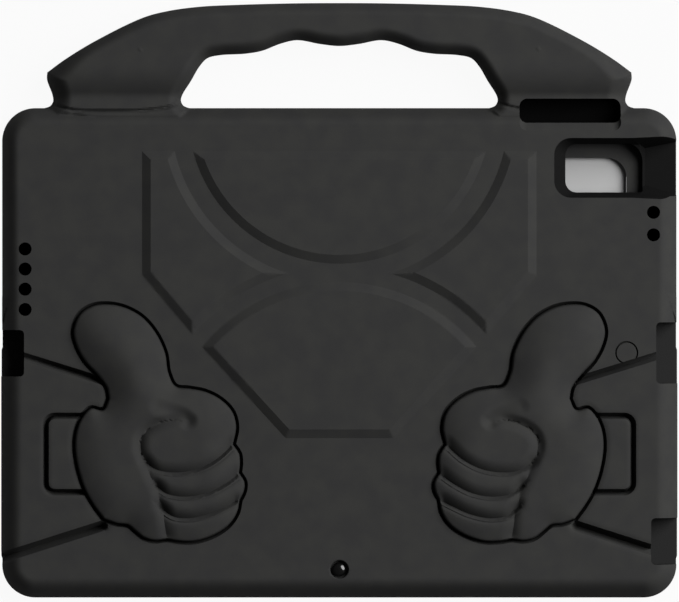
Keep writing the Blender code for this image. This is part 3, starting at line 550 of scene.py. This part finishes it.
def inCells(points, gap):  # the points by the square cell they lie in
    cells = {}
    for x, y in points:
        cells.setdefault((int(x // gap), int(y // gap)), []).append((x, y))
    return cells


def standsClear(x, y, cells, gap):
    i, j = int(x // gap), int(y // gap)
    close = (q for a in (i - 1, i, i + 1) for b in (j - 1, j, j + 1) for q in cells.get((a, b), ()))
    return all((x - qx) ** 2 + (y - qy) ** 2 > gap ** 2 for qx, qy in close)


def thinned(points, guides, gap):  # grid points that stand clear of the guide rows
    cells = inCells(np.vstack(guides), gap)
    return [(x, y) for x, y in points if standsClear(x, y, cells, gap)]


def clearRuns(row, taken, gap):  # the parts of a row that stand clear of the rows already there
    cells = inCells(taken, gap)
    runs = [[]]
    for x, y in row:
        if standsClear(x, y, cells, gap):
            runs[-1].append((x, y))
        elif runs[-1]:
            runs.append([])
    return [run for run in runs if len(run) > 1]


def rimRings(outline, insets):  # rows just inside the material, to the left of a closed outline
    line = np.array(outline)
    rings = []
    for inset in insets:
        ring = line + leftNormals(line, True) * inset
        rings.append(ring[rimDistance(ring) > inset * 0.96])  # no folds at the inner corners
    return rings


def sheetOf(heightAt, insets, guides, fill):
    rings = rimRings(outerOutline, insets) + rimRings(holeOutline, insets)
    points = outerOutline + holeOutline
    loops = [list(range(len(outerOutline))), list(range(len(outerOutline), len(points)))[::-1]]
    edges = []
    rows = [row for row in guides if len(row) > 1]
    for row in rows:
        first = len(points)
        points = points + [tuple(p) for p in row]
        edges += [(first + i, first + i + 1) for i in range(len(row) - 1)]
    loose = np.vstack(rings)
    if rows:
        loose = np.array(thinned(loose, rows, meshing["ringClear"]))
        fill = np.array(thinned(fill, rows + [loose], meshing["fillClear"]))
    points = points + [tuple(p) for p in loose] + [tuple(p) for p in fill]
    made = delaunay_2d_cdt(points, edges, loops, 1, 1e-6)
    plan = np.array([tuple(v) for v in made[0]])
    faces = np.array([tuple(f) for f in made[2]])
    middles = plan[faces].mean(axis=1)
    faces = faces[~isInside(middles, holeOutline)]
    return plan, heightAt(plan), faces


def placed(name, data):
    piece = bpy.data.objects.new(name, data)
    bpy.context.scene.collection.objects.link(piece)
    return piece


def blank(name, data):
    mesh = bpy.data.meshes.new(name)
    bmesh.ops.recalc_face_normals(data, faces=data.faces)
    data.to_mesh(mesh)
    data.free()
    for _ in range(meshing["materialSlots"]):  # empty, so that a Boolean keeps each face's slot
        mesh.materials.append(None)
    return placed(name, mesh)


def armRows():  # rows along the fist's rim, its creases and the arm's grooves, in the arm's own place
    rim = np.array(fistOutline)
    inward = -1 if isClockwise(rim) else 1
    rows = [np.vstack([rim, rim[:1]])]
    taken = list(rim)

    def add(line, gap, keep):
        for run in clearRuns(np.array(line)[keep], taken, gap):
            rows.append(np.array(run))
            taken.extend(run)

    for inset in fist["rimRows"]:
        line = shifted(rim, inward * inset, True)
        line = np.vstack([line, line[:1]])
        add(line, meshing["rimClear"], nearest(line, rim, True)[0] > abs(inset) * 0.93)
    offRim = meshing["offRim"]
    for crease in fingerCreases + [palmCrease]:
        for offset in fist["creaseRows"]:
            line = shifted(crease, offset)
            inner = isInside(line, fistOutline) & (nearest(line, rim, True)[0] > offRim)
            add(line, meshing["creaseClear"], inner)
    upper, lower = (straightRun(arms[key], arms["step"]) for key in ("upperLine", "lowerLine"))
    for line, name in ((upper, "upperGroove"), (cuffLine(), "cuffGroove"), (lower, "lowerGroove")):
        wide, _, narrow, _ = arms[name]
        for offset in [0] + [narrow * share for share in meshing["grooveRows"]] + [wide]:
            for way in ((1, -1) if offset else (1,)):
                row = shifted(line, way * offset)
                add(row, meshing["grooveClear"], ~isInside(row, fistOutline) & (row[:, 0] > offRim))
    return rows


def guideRows():
    rows = []
    half = pattern["bevel"] / 2
    for outline in patternOutlines():
        for offset in (half, -half):
            line = shifted(outline, offset, True)
            rows.append(np.vstack([line, line[:1]]))
    for row in armRows():
        for side in (-1, 1):
            across = side * (shell["halfWidth"] - row[:, 0])
            rows.append(np.column_stack([across, row[:, 1] + shell["bottom"]]))
    return rows


def makeCasting():
    data = bmesh.new()
    sheets = []
    for heightAt, name, rings, rows in ((backHeight, "back", "edgeRings", guideRows()),
                                        (frontHeight, "front", "frontRings", [])):
        fill = gradedPoints(heightAt, *meshing[name])
        plan, height, faces = sheetOf(heightAt, shell[rings], rows, fill)
        sheets.append([data.verts.new((x * mm, y * mm, z * mm)) for (x, y), z in zip(plan, height)])
        for face in faces:
            data.faces.new([sheets[-1][i] for i in face])
        print(name, "sheet:", len(plan), "points")
    upper, lower = sheets
    for first, count in ((0, len(outerOutline)), (len(outerOutline), len(holeOutline))):
        for i in range(count):
            j = (i + 1) % count
            a, b = first + i, first + j
            data.faces.new((lower[a], lower[b], upper[b], upper[a]))
    return blank("foamCase", data)


foamCase = makeCasting()
print("casting:", len(foamCase.data.polygons), "faces")


# Openings: one cutter for all of them, each placed from the nearest edges of the shell

openings = {  # pocket: width, height, front, floor and corner
    "pocket": (251.0, 174.5, 3.0, 10.9, 8.0), "lipReach": 6.5, "mouthChamfer": 1.5,
    "windowLeft": 50.8, "windowRight": 11.4, "windowTop": 12.5, "windowBottom": 37.2, "windowCorner": 7.0,
    "windowSlope": 2.6, "windowLeftSlope": 5.4, "channelFloor": 4.5, "channelFlare": 1.0,
    "channelFoot": 5.4, "channelHead": 4, "clearAbove": 4,
    "slot": (74.4, 116.3, -6.2, 3.8), "slotCorner": 3.2, "slotFoot": 5, "slotAbove": 8,
    "slotLedge": -9.5, "ledgeDrop": 2.6, "ledgeStep": 0.5,
    "slotPassage": (3, 15, 6, 1),  # in from the slot's ends, down, and below the pocket's floor
    "soundHole": 2.7, "soundInset": 9.8, "soundFoot": 4.5, "soundPassage": (5, 8.9),
    "speakerHoles": (119.2, 127.6, 135.9, 144.2), "microphoneHoles": (150.0, 159.3),
    # notches: side, depth, lower and upper end, width of the plug's passage
    "notches": [(-1, 9.4, 91.5, 110.7, 13.0), (1, 8.7, 88.6, 113.9, 0), (1, 10.8, 13.8, 33.1, 8.0)],
    "notchCorner": 1.8, "notchFoot": 4, "plugPassage": (4.5, 9.4),
    "ringMark": (21.0, 101.3, 4.9, 0.9, 1.2),  # from the side, up, radius, line's width and depth
}
stud = {
    "up": 11.9, "head": 2.9, "dome": 1.6, "sunk": 0.4, "stem": 1.4, "barb": 2.1, "stemLength": 6.0,
    "tip": 0.7, "barbFrom": 2, "barbTo": 2.6,  # the tip's share of the stem, and the barb's place up it
    "recess": 3.8, "recessDepth": 3.0, "recessEdge": 0.3, "clearance": 0.3, "rounding": 0.25,
}


def loft(name, rings, endless=False):  # a solid through rings of points, lowest first, or a torus
    data = bmesh.new()
    loops = [[data.verts.new((x * mm, y * mm, z * mm)) for x, y, z in ring] for ring in rings]
    if not endless:
        data.faces.new(loops[0][::-1])
        data.faces.new(loops[-1])
    for lower, upper in zip(loops, loops[1:] + (loops[:1] if endless else [])):
        for i in range(len(lower)):
            j = (i + 1) % len(lower)
            data.faces.new((lower[i], lower[j], upper[j], upper[i]))
    return blank(name, data)


def atHeight(outline, z):
    return [(x, y, z) for x, y in outline]


def prism(name, outline, low, high):
    return loft(name, [atHeight(outline, low), atHeight(outline, high)])


def block(name, x, y, z):
    (left, right), (bottom, top) = sorted(x), sorted(y)
    return prism(name, [(left, bottom), (right, bottom), (right, top), (left, top)], *z)


def turned(name, profile, x, y, count, endless=False):  # a solid of revolution from (radius, height)
    circle = arcPoints(0, 0, 1, 0, 360 - 360 / count, count - 1)
    return loft(name, [[(x + r * cx, y + r * cy, z) for cx, cy in circle] for r, z in profile], endless)


def studRecess():
    back, recess, edge, gap = shell["back"], stud["recess"], stud["recessEdge"], stud["clearance"]
    seat = back - stud["recessDepth"]
    foot = seat - stud["stemLength"]
    stem, barb, barbTo = stud["stem"] + gap, stud["barb"] + gap, foot + stud["barbTo"] + gap
    profile = [(stud["stem"] * stud["tip"] + gap, foot - gap), (barb, foot + stud["barbFrom"] - gap),
               (barb, barbTo), (stem, barbTo), (stem, seat), (recess, seat), (recess, back - edge),
               (recess + edge, back), (recess + edge, back + 1)]
    return turned("studRecess", profile, 0, shell["bottom"] + stud["up"], 48)


def ringMarkCutter():
    inset, up, radius, width, depth = openings["ringMark"]
    x, y, top = shell["halfWidth"] - inset, shell["bottom"] + up, shell["back"]
    section = [(radius - width, top + 1), (radius - width, top), (radius - width / 2, top - depth),
               (radius, top), (radius, top + 1)]
    return turned("ringMark", section, x, y, 60, True)


def pocketCutters():
    width, height, low, high, corner = openings["pocket"]
    middle = (shell["top"] + shell["bottom"]) / 2

    def outline(inset, r):
        half = width / 2 - inset
        return roundedBox(-half, half, middle - height / 2 + inset, middle + height / 2 - inset, r)

    reach, chamfer = openings["lipReach"], openings["mouthChamfer"]
    mouth = [atHeight(outline(reach - chamfer - 1, corner + chamfer + 1), -1),
             atHeight(outline(reach - chamfer, corner + chamfer), 0),
             atHeight(outline(reach - chamfer * 0.3, corner + chamfer * 0.3), chamfer * 0.35),
             atHeight(outline(reach, corner), chamfer), atHeight(outline(reach, corner), low + 1)]
    return [prism("pocket", outline(0, corner), low, high), loft("screenOpening", mouth)]


# slots 1 to 3 hold the darker foams that paint shade into the window, the slot, the sound holes and the
# notches
def asPaintedShade(cutters, slot):  # the faces these cutters leave take that material slot of the piece
    for cutter in cutters:
        cutter.data.polygons.foreach_set("material_index", [slot] * len(cutter.data.polygons))
    return cutters


def windowCutters():
    o = openings
    right, left = shell["halfWidth"] - o["windowRight"], shell["halfWidth"] - o["windowLeft"]
    top, bottom = shell["top"] - o["windowTop"], shell["top"] - o["windowBottom"]
    back, above = shell["back"], shell["back"] + o["clearAbove"]
    outer = roundedBox(left, right, bottom, top, o["windowCorner"], 12)
    slope, leftSlope = o["windowSlope"], o["windowLeftSlope"]
    inner = roundedBox(left + leftSlope, right - 0.2, bottom + slope, top - slope,
                       o["windowCorner"] - slope, 12)
    rings = [atHeight(inner, o["pocket"][3] - 1), atHeight(outer, back), atHeight(outer, above)]
    window = loft("window", rings)
    outside, start, flare = shell["halfWidth"] + 2, right - 1.5, o["channelFlare"]
    corner = right - o["windowCorner"] - 0.5
    floor = [(start, bottom + o["channelFoot"]), (outside, bottom + flare), (outside, top - flare),
             (start, top - o["channelHead"])]
    mouth = [(corner, bottom), (outside, bottom - flare), (outside, top + flare), (corner, top)]
    rings = [atHeight(floor, o["channelFloor"]), atHeight(mouth, back), atHeight(mouth, above)]
    # the window and button channel faces take the painted shade of slot 1
    return asPaintedShade([window, loft("buttonChannel", rings)], 1)


def slotCutters():
    left, right, low, high = openings["slot"]
    top, back, corner = shell["top"], shell["back"], openings["slotCorner"]
    edge, drop, step = openings["slotLedge"], openings["ledgeDrop"], openings["ledgeStep"]
    foot, above = openings["slotFoot"], back + openings["slotAbove"]
    well = roundedBox(left, right, top + low, top + high, corner, 8)
    wide = roundedBox(left, right, top + edge, top + 1, corner, 8)
    narrow = roundedBox(left + 0.6, right - 0.6, top + low, top + 0.4, corner - 0.6, 8)
    ledge = [atHeight(narrow, back - drop), atHeight(wide, back - step), atHeight(wide, above)]
    ceiling = openings["pocket"][3]
    inset, down, deep, shallow = openings["slotPassage"]
    passage = block("volumePassage", (left + inset, right - inset), (top - down, top + low + 1),
                    (ceiling - deep, ceiling - shallow))
    # the slot's well and passage take the deeper painted shade of slot 2
    return asPaintedShade([prism("volumeSlot", well, foot, above), passage], 2) + [loft("slotLedge", ledge)]


def soundHoleCutters(side, up):
    x, y = side * (shell["halfWidth"] - openings["soundInset"]), shell["bottom"] + up
    r, above = openings["soundHole"], shell["back"] + openings["clearAbove"]
    hole = prism("soundHole", arcPoints(x, y, r, 0, 348.75, 31), openings["soundFoot"], above)
    inner = side * (openings["pocket"][0] / 2 - 1)
    beside = (y - r * 0.6, y + r * 0.6)
    # the sound holes take the deeper painted shade of slot 2
    return asPaintedShade([hole, block("soundPassage", (x, inner), beside, openings["soundPassage"])], 2)


def notchCutters(side, depth, low, high, passage):
    clear = openings["clearAbove"]
    outside, inside = side * (shell["halfWidth"] + clear), side * (shell["halfWidth"] - depth)
    left, right = sorted((outside, inside))
    bottom, top = shell["bottom"] + low, shell["bottom"] + high
    outline = roundedBox(left, right, bottom, top, openings["notchCorner"], 6)
    cutters = [prism("notch", outline, openings["notchFoot"], shell["back"] + clear)]
    if passage:
        middle = shell["bottom"] + (low + high) / 2
        cutters.append(block("plugPassage", (inside + side, side * (openings["pocket"][0] / 2 - 1)),
                             (middle - passage / 2, middle + passage / 2), openings["plugPassage"]))
    # the notches take the lighter painted shade of slot 3
    return asPaintedShade(cutters, 3)


def joined(pieces, target, operation):  # one exact Boolean after another, then the result is kept
    for piece in pieces:
        modifier = target.modifiers.new(piece.name, "BOOLEAN")
        modifier.operation = operation
        modifier.solver = "EXACT"
        modifier.object = piece
    evaluated = target.evaluated_get(bpy.context.evaluated_depsgraph_get())
    mesh = bpy.data.meshes.new_from_object(evaluated)
    target.modifiers.clear()
    target.data = mesh
    for piece in pieces:
        bpy.data.objects.remove(piece)
    return target


def cutOpenings(casting):
    cutters = pocketCutters() + [ringMarkCutter(), studRecess()] + windowCutters() + slotCutters()
    for side, places in ((-1, openings["speakerHoles"]), (1, openings["microphoneHoles"])):
        for up in places:
            cutters += soundHoleCutters(side, up)
    for notch in openings["notches"]:
        cutters += notchCutters(*notch)
    cutter = joined(cutters[1:], cutters[0], "UNION")
    return joined([cutter], casting, "DIFFERENCE")


sharpAt = {"foam": 24, "sculpted": 50, "stud": 40}  # degrees


def smoothed(piece, angle, soft=None):  # an edge that bends more than its limit stays sharp
    data = bmesh.new()
    data.from_mesh(piece.data)
    limit, softLimit = radians(angle), radians(sharpAt["sculpted"])
    for edge in data.edges:
        bend = edge.calc_face_angle(0)
        middle = (edge.verts[0].co + edge.verts[1].co) / 2
        edge.smooth = bend < (softLimit if soft and soft(middle, edge) else limit)
    for face in data.faces:
        face.smooth = True
    data.to_mesh(piece.data)
    data.free()
    return piece


def isSculpted(place, edge):  # the fists, sleeves and rounded edges, away from the cut openings
    fromSide, up = shell["halfWidth"] - abs(place.x) / mm, place.y / mm - shell["bottom"]
    onArm = fromSide < arms["reach"] and arms["lowest"] < up < arms["highest"]
    onEdge = shellDistance(np.array([[place.x / mm, place.y / mm]]))[0] < shell["edgeZone"]
    return (onArm or onEdge) and not any(face.material_index for face in edge.link_faces)


foamCase = smoothed(cutOpenings(foamCase), sharpAt["foam"], isSculpted)
print("openings cut:", len(foamCase.data.polygons), "faces")


# Stud: a domed head on a barbed stem

def makeStud():
    seat = shell["back"] - stud["recessDepth"] + stud["clearance"]
    foot = shell["back"] - stud["recessDepth"] - stud["stemLength"]
    crown = shell["back"] - stud["sunk"]
    head, dome, stem, barb, rounding = (stud[key] for key in ("head", "dome", "stem", "barb", "rounding"))
    barbTo = foot + stud["barbTo"]
    profile = [(stem * stud["tip"], foot), (barb, foot + stud["barbFrom"]), (barb, barbTo), (stem, barbTo),
               (stem, seat), (head - rounding, seat), (head, seat + rounding)]
    profile += [(head * cos(radians(a)), crown - dome + dome * sin(radians(a))) for a in range(0, 88, 6)]
    return smoothed(turned("glossyStud", profile, 0, shell["bottom"] + stud["up"], 64), sharpAt["stud"])


glossyStud = makeStud()
print("stud turned")


# Materials

def linear(hexColour):
    parts = [int(hexColour[i:i + 2], 16) / 255 for i in (1, 3, 5)]
    return tuple(c / 12.92 if c <= 0.04045 else ((c + 0.055) / 1.055) ** 2.4 for c in parts) + (1.0,)


def addNode(tree, kind, settings=None, links=None):
    node = tree.nodes.new("ShaderNode" + kind)
    for key, value in (settings or {}).items():
        if key in node.inputs:
            node.inputs[key].default_value = value
        else:
            setattr(node, key, value)
    for key, source in (links or {}).items():
        tree.links.new(source, node.inputs[key])
    return node


def newMaterial(name):
    material = bpy.data.materials.new(name)
    material.use_nodes = True
    tree = material.node_tree
    tree.nodes.clear()
    return material, tree


# Compression-moulded EVA foam: a matte black skin with a fine leathery grain and a broad, dull gloss.
# The real grain is finer than a pixel, and it is drawn at 0.45 mm so that it shows.
foamLook = {
    "colour": "#303030", "worn": "#333332", "wornFrom": 0.35, "wornTo": 0.65, "mottle": 9.0,
    "roughness": 0.75, "smoother": 0.04, "rougher": 0.05, "specular": 0.02,
    "grain": 0.45, "grainDepth": 0.05, "grainBump": 0.35,
}


def mouldedEvaFoam():
    look = foamLook
    material, tree = newMaterial("mouldedEvaFoam")
    place = addNode(tree, "TexCoord").outputs["Object"]
    grain = addNode(tree, "TexNoise", {"Scale": 1000 / look["grain"] / 2, "Detail": 3.0,
                    "Roughness": 0.6}, {"Vector": place})
    mottle = addNode(tree, "TexNoise", {"Scale": 1000 / look["mottle"], "Detail": 2.0}, {"Vector": place})
    tone = addNode(tree, "MapRange", {"From Min": look["wornFrom"], "From Max": look["wornTo"]},
                   {"Value": mottle.outputs["Fac"]})
    colour = addNode(tree, "Mix", {"data_type": "RGBA"})
    colour.inputs[6].default_value = linear(look["colour"])
    colour.inputs[7].default_value = linear(look["worn"])
    tree.links.new(tone.outputs["Result"], colour.inputs[0])
    gloss = addNode(tree, "MapRange", {"From Min": 0.3, "From Max": 0.7,
                    "To Min": look["roughness"] - look["smoother"],
                    "To Max": look["roughness"] + look["rougher"]}, {"Value": grain.outputs["Fac"]})
    bump = addNode(tree, "Bump", {"Strength": look["grainBump"], "Distance": look["grainDepth"] * mm},
                   {"Height": grain.outputs["Fac"]})
    shader = addNode(tree, "BsdfPrincipled", {"IOR": 1.5, "Specular IOR Level": look["specular"]},
                     {"Base Color": colour.outputs[2], "Roughness": gloss.outputs["Result"],
                      "Normal": bump.outputs["Normal"]})
    addNode(tree, "OutputMaterial", {}, {"Surface": shader.outputs["BSDF"]})
    return material


# Painted shade for the faces cut by the window, the slot, the sound holes and the notches: the same black
# foam drawn darker than its skin, as shade falls in these recesses, and fully dull with a fine cell bump
shadeFoamLook = {"roughness": 0.95, "specular": 0.02, "cells": 0.3, "cellDepth": 0.08, "cellBump": 0.4}
# painted shade, darkest in the deep slot and sound holes, lighter in the notches
paintedShadeColours = [("paintedShadeFoam", "#141414"), ("deepPaintedShadeFoam", "#070707"), ("notchPaintedShadeFoam", "#252525")]


def paintedShadeFoam(name, colour):
    look = shadeFoamLook
    material, tree = newMaterial(name)
    place = addNode(tree, "TexCoord").outputs["Object"]
    cells = addNode(tree, "TexVoronoi", {"Scale": 1000 / look["cells"] / 2}, {"Vector": place})
    bump = addNode(tree, "Bump", {"Strength": look["cellBump"], "Distance": look["cellDepth"] * mm},
                   {"Height": cells.outputs["Distance"]})
    shader = addNode(tree, "BsdfPrincipled", {"Base Color": linear(colour), "IOR": 1.5,
                     "Roughness": look["roughness"], "Specular IOR Level": look["specular"]},
                     {"Normal": bump.outputs["Normal"]})
    addNode(tree, "OutputMaterial", {}, {"Surface": shader.outputs["BSDF"]})
    return material


# Injection-moulded ABS: a hard black gloss with faint handling marks
studLook = {"colour": "#0b0b0b", "roughness": 0.12, "rougher": 0.08, "marks": 1.2}


def mouldedAbs():
    look = studLook
    material, tree = newMaterial("glossyMouldedAbs")
    place = addNode(tree, "TexCoord").outputs["Object"]
    marks = addNode(tree, "TexNoise", {"Scale": 1000 / look["marks"], "Detail": 2.0}, {"Vector": place})
    gloss = addNode(tree, "MapRange", {"From Min": 0.3, "From Max": 0.7,
                    "To Min": look["roughness"], "To Max": look["roughness"] + look["rougher"]},
                    {"Value": marks.outputs["Fac"]})
    shader = addNode(tree, "BsdfPrincipled", {"Base Color": linear(look["colour"]), "IOR": 1.5},
                     {"Roughness": gloss.outputs["Result"]})
    addNode(tree, "OutputMaterial", {}, {"Surface": shader.outputs["BSDF"]})
    return material


foamCase.data.materials[0] = mouldedEvaFoam()
# slots 1 to 3: the darker foams, painted shade in the cut recesses
for index, (name, colour) in enumerate(paintedShadeColours):
    foamCase.data.materials[index + 1] = paintedShadeFoam(name, colour)
glossyStud.data.materials.clear()
glossyStud.data.materials.append(mouldedAbs())
for piece, node, slot in ((foamCase, "foam_case", "eva_foam"), (glossyStud, "round_stud", "stud_plastic")):
    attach(piece, "root")
    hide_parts(node)
print("materials on")


# Studio: a pale floor, a very large soft key lamp from the upper right, a faint low one from the
# left and a dim room

studio = {
    "floor": "#a4a4a4", "floorShown": 0.94, "room": 0.06, "cameraHeight": 4.0, "frameWidth": 280.8,
    "frameLevel": 11.0, "cameraShift": (0.08, -0.2),
    # name, place and width in metres, and power in watts
    "lamps": [("keyLamp", (1.46, 0.62, 1.52), 1.9, 86.0), ("rimLamp", (-2.0, 0.1, 0.2), 0.6, 4.0)],
    "floorHalf": 3, "shadowPatch": (0.119, 0.081),
}


def makeFloor():  # the patch under the screen opening doesn't shine, so the window shows a shadowed floor
    middle, far = (shell["top"] + shell["bottom"]) / 2 * mm, studio["floorHalf"]
    halfX, halfY = studio["shadowPatch"]
    xs, ys = (-far, -halfX, halfX, far), (-far, middle - halfY, middle + halfY, far)
    data = bmesh.new()
    grid = [[data.verts.new((x, y, 0)) for x in xs] for y in ys]
    for i in range(3):
        for j in range(3):
            face = data.faces.new((grid[i][j], grid[i][j + 1], grid[i + 1][j + 1], grid[i + 1][j]))
            face.material_index = int(i == 1 and j == 1)
    floor = blank("studioFloor", data)
    paints = (("mattePaintedFloor", studio["floorShown"]), ("shadowedFloor", 0.0))
    for index, (name, shown) in enumerate(paints):
        floor.data.materials[index] = floorMaterial(name, shown)


def floorMaterial(name, shown):  # diffuse white, and plain white to the eye by the share shown
    material, tree = newMaterial(name)
    paint = addNode(tree, "BsdfDiffuse", {"Color": linear(studio["floor"])})
    white = addNode(tree, "Emission", {"Color": (1, 1, 1, 1), "Strength": 1.0})
    rays = addNode(tree, "LightPath")
    share = rays.outputs["Is Camera Ray"]
    for operation, other in (("MAXIMUM", "Is Glossy Ray"), ("MAXIMUM", "Is Transmission Ray"),
                             ("MULTIPLY", None)):
        step = addNode(tree, "Math", {"operation": operation})
        tree.links.new(share, step.inputs[0])
        if other:
            tree.links.new(rays.outputs[other], step.inputs[1])
        else:
            step.inputs[1].default_value = shown
        share = step.outputs[0]
    mix = addNode(tree, "MixShader")
    tree.links.new(share, mix.inputs[0])
    tree.links.new(paint.outputs[0], mix.inputs[1])
    tree.links.new(white.outputs[0], mix.inputs[2])
    addNode(tree, "OutputMaterial", {}, {"Surface": mix.outputs[0]})
    return material


def makeLamps():
    for name, place, size, power in studio["lamps"]:
        lamp = bpy.data.lights.new(name, "AREA")
        lamp.shape = "DISK"
        lamp.size = size
        lamp.energy = power
        holder = placed(name, lamp)
        holder.location = place
        holder.rotation_euler = (Vector(place) * -1).to_track_quat("-Z", "Y").to_euler()


def makeRoom():
    world = bpy.data.worlds.new("studioRoom")
    bpy.context.scene.world = world
    world.use_nodes = True
    tree = world.node_tree
    tree.nodes.clear()
    room = addNode(tree, "Background", {"Color": (1, 1, 1, 1), "Strength": studio["room"]})
    addNode(tree, "OutputWorld", {}, {"Surface": room.outputs[0]})


def makeCamera():
    data = bpy.data.cameras.new("longLens")
    distance = studio["cameraHeight"] * 1000 - studio["frameLevel"]
    data.sensor_fit = "HORIZONTAL"
    data.lens = data.sensor_width * distance / studio["frameWidth"]
    data.clip_end = 20
    camera = placed("longLens", data)
    x, y = studio["cameraShift"]
    camera.location = (x * mm, y * mm, studio["cameraHeight"])
    bpy.context.scene.camera = camera


makeFloor()
makeLamps()
makeRoom()
makeCamera()
bpy.context.scene.view_settings.view_transform = "Standard"
print("studio set")
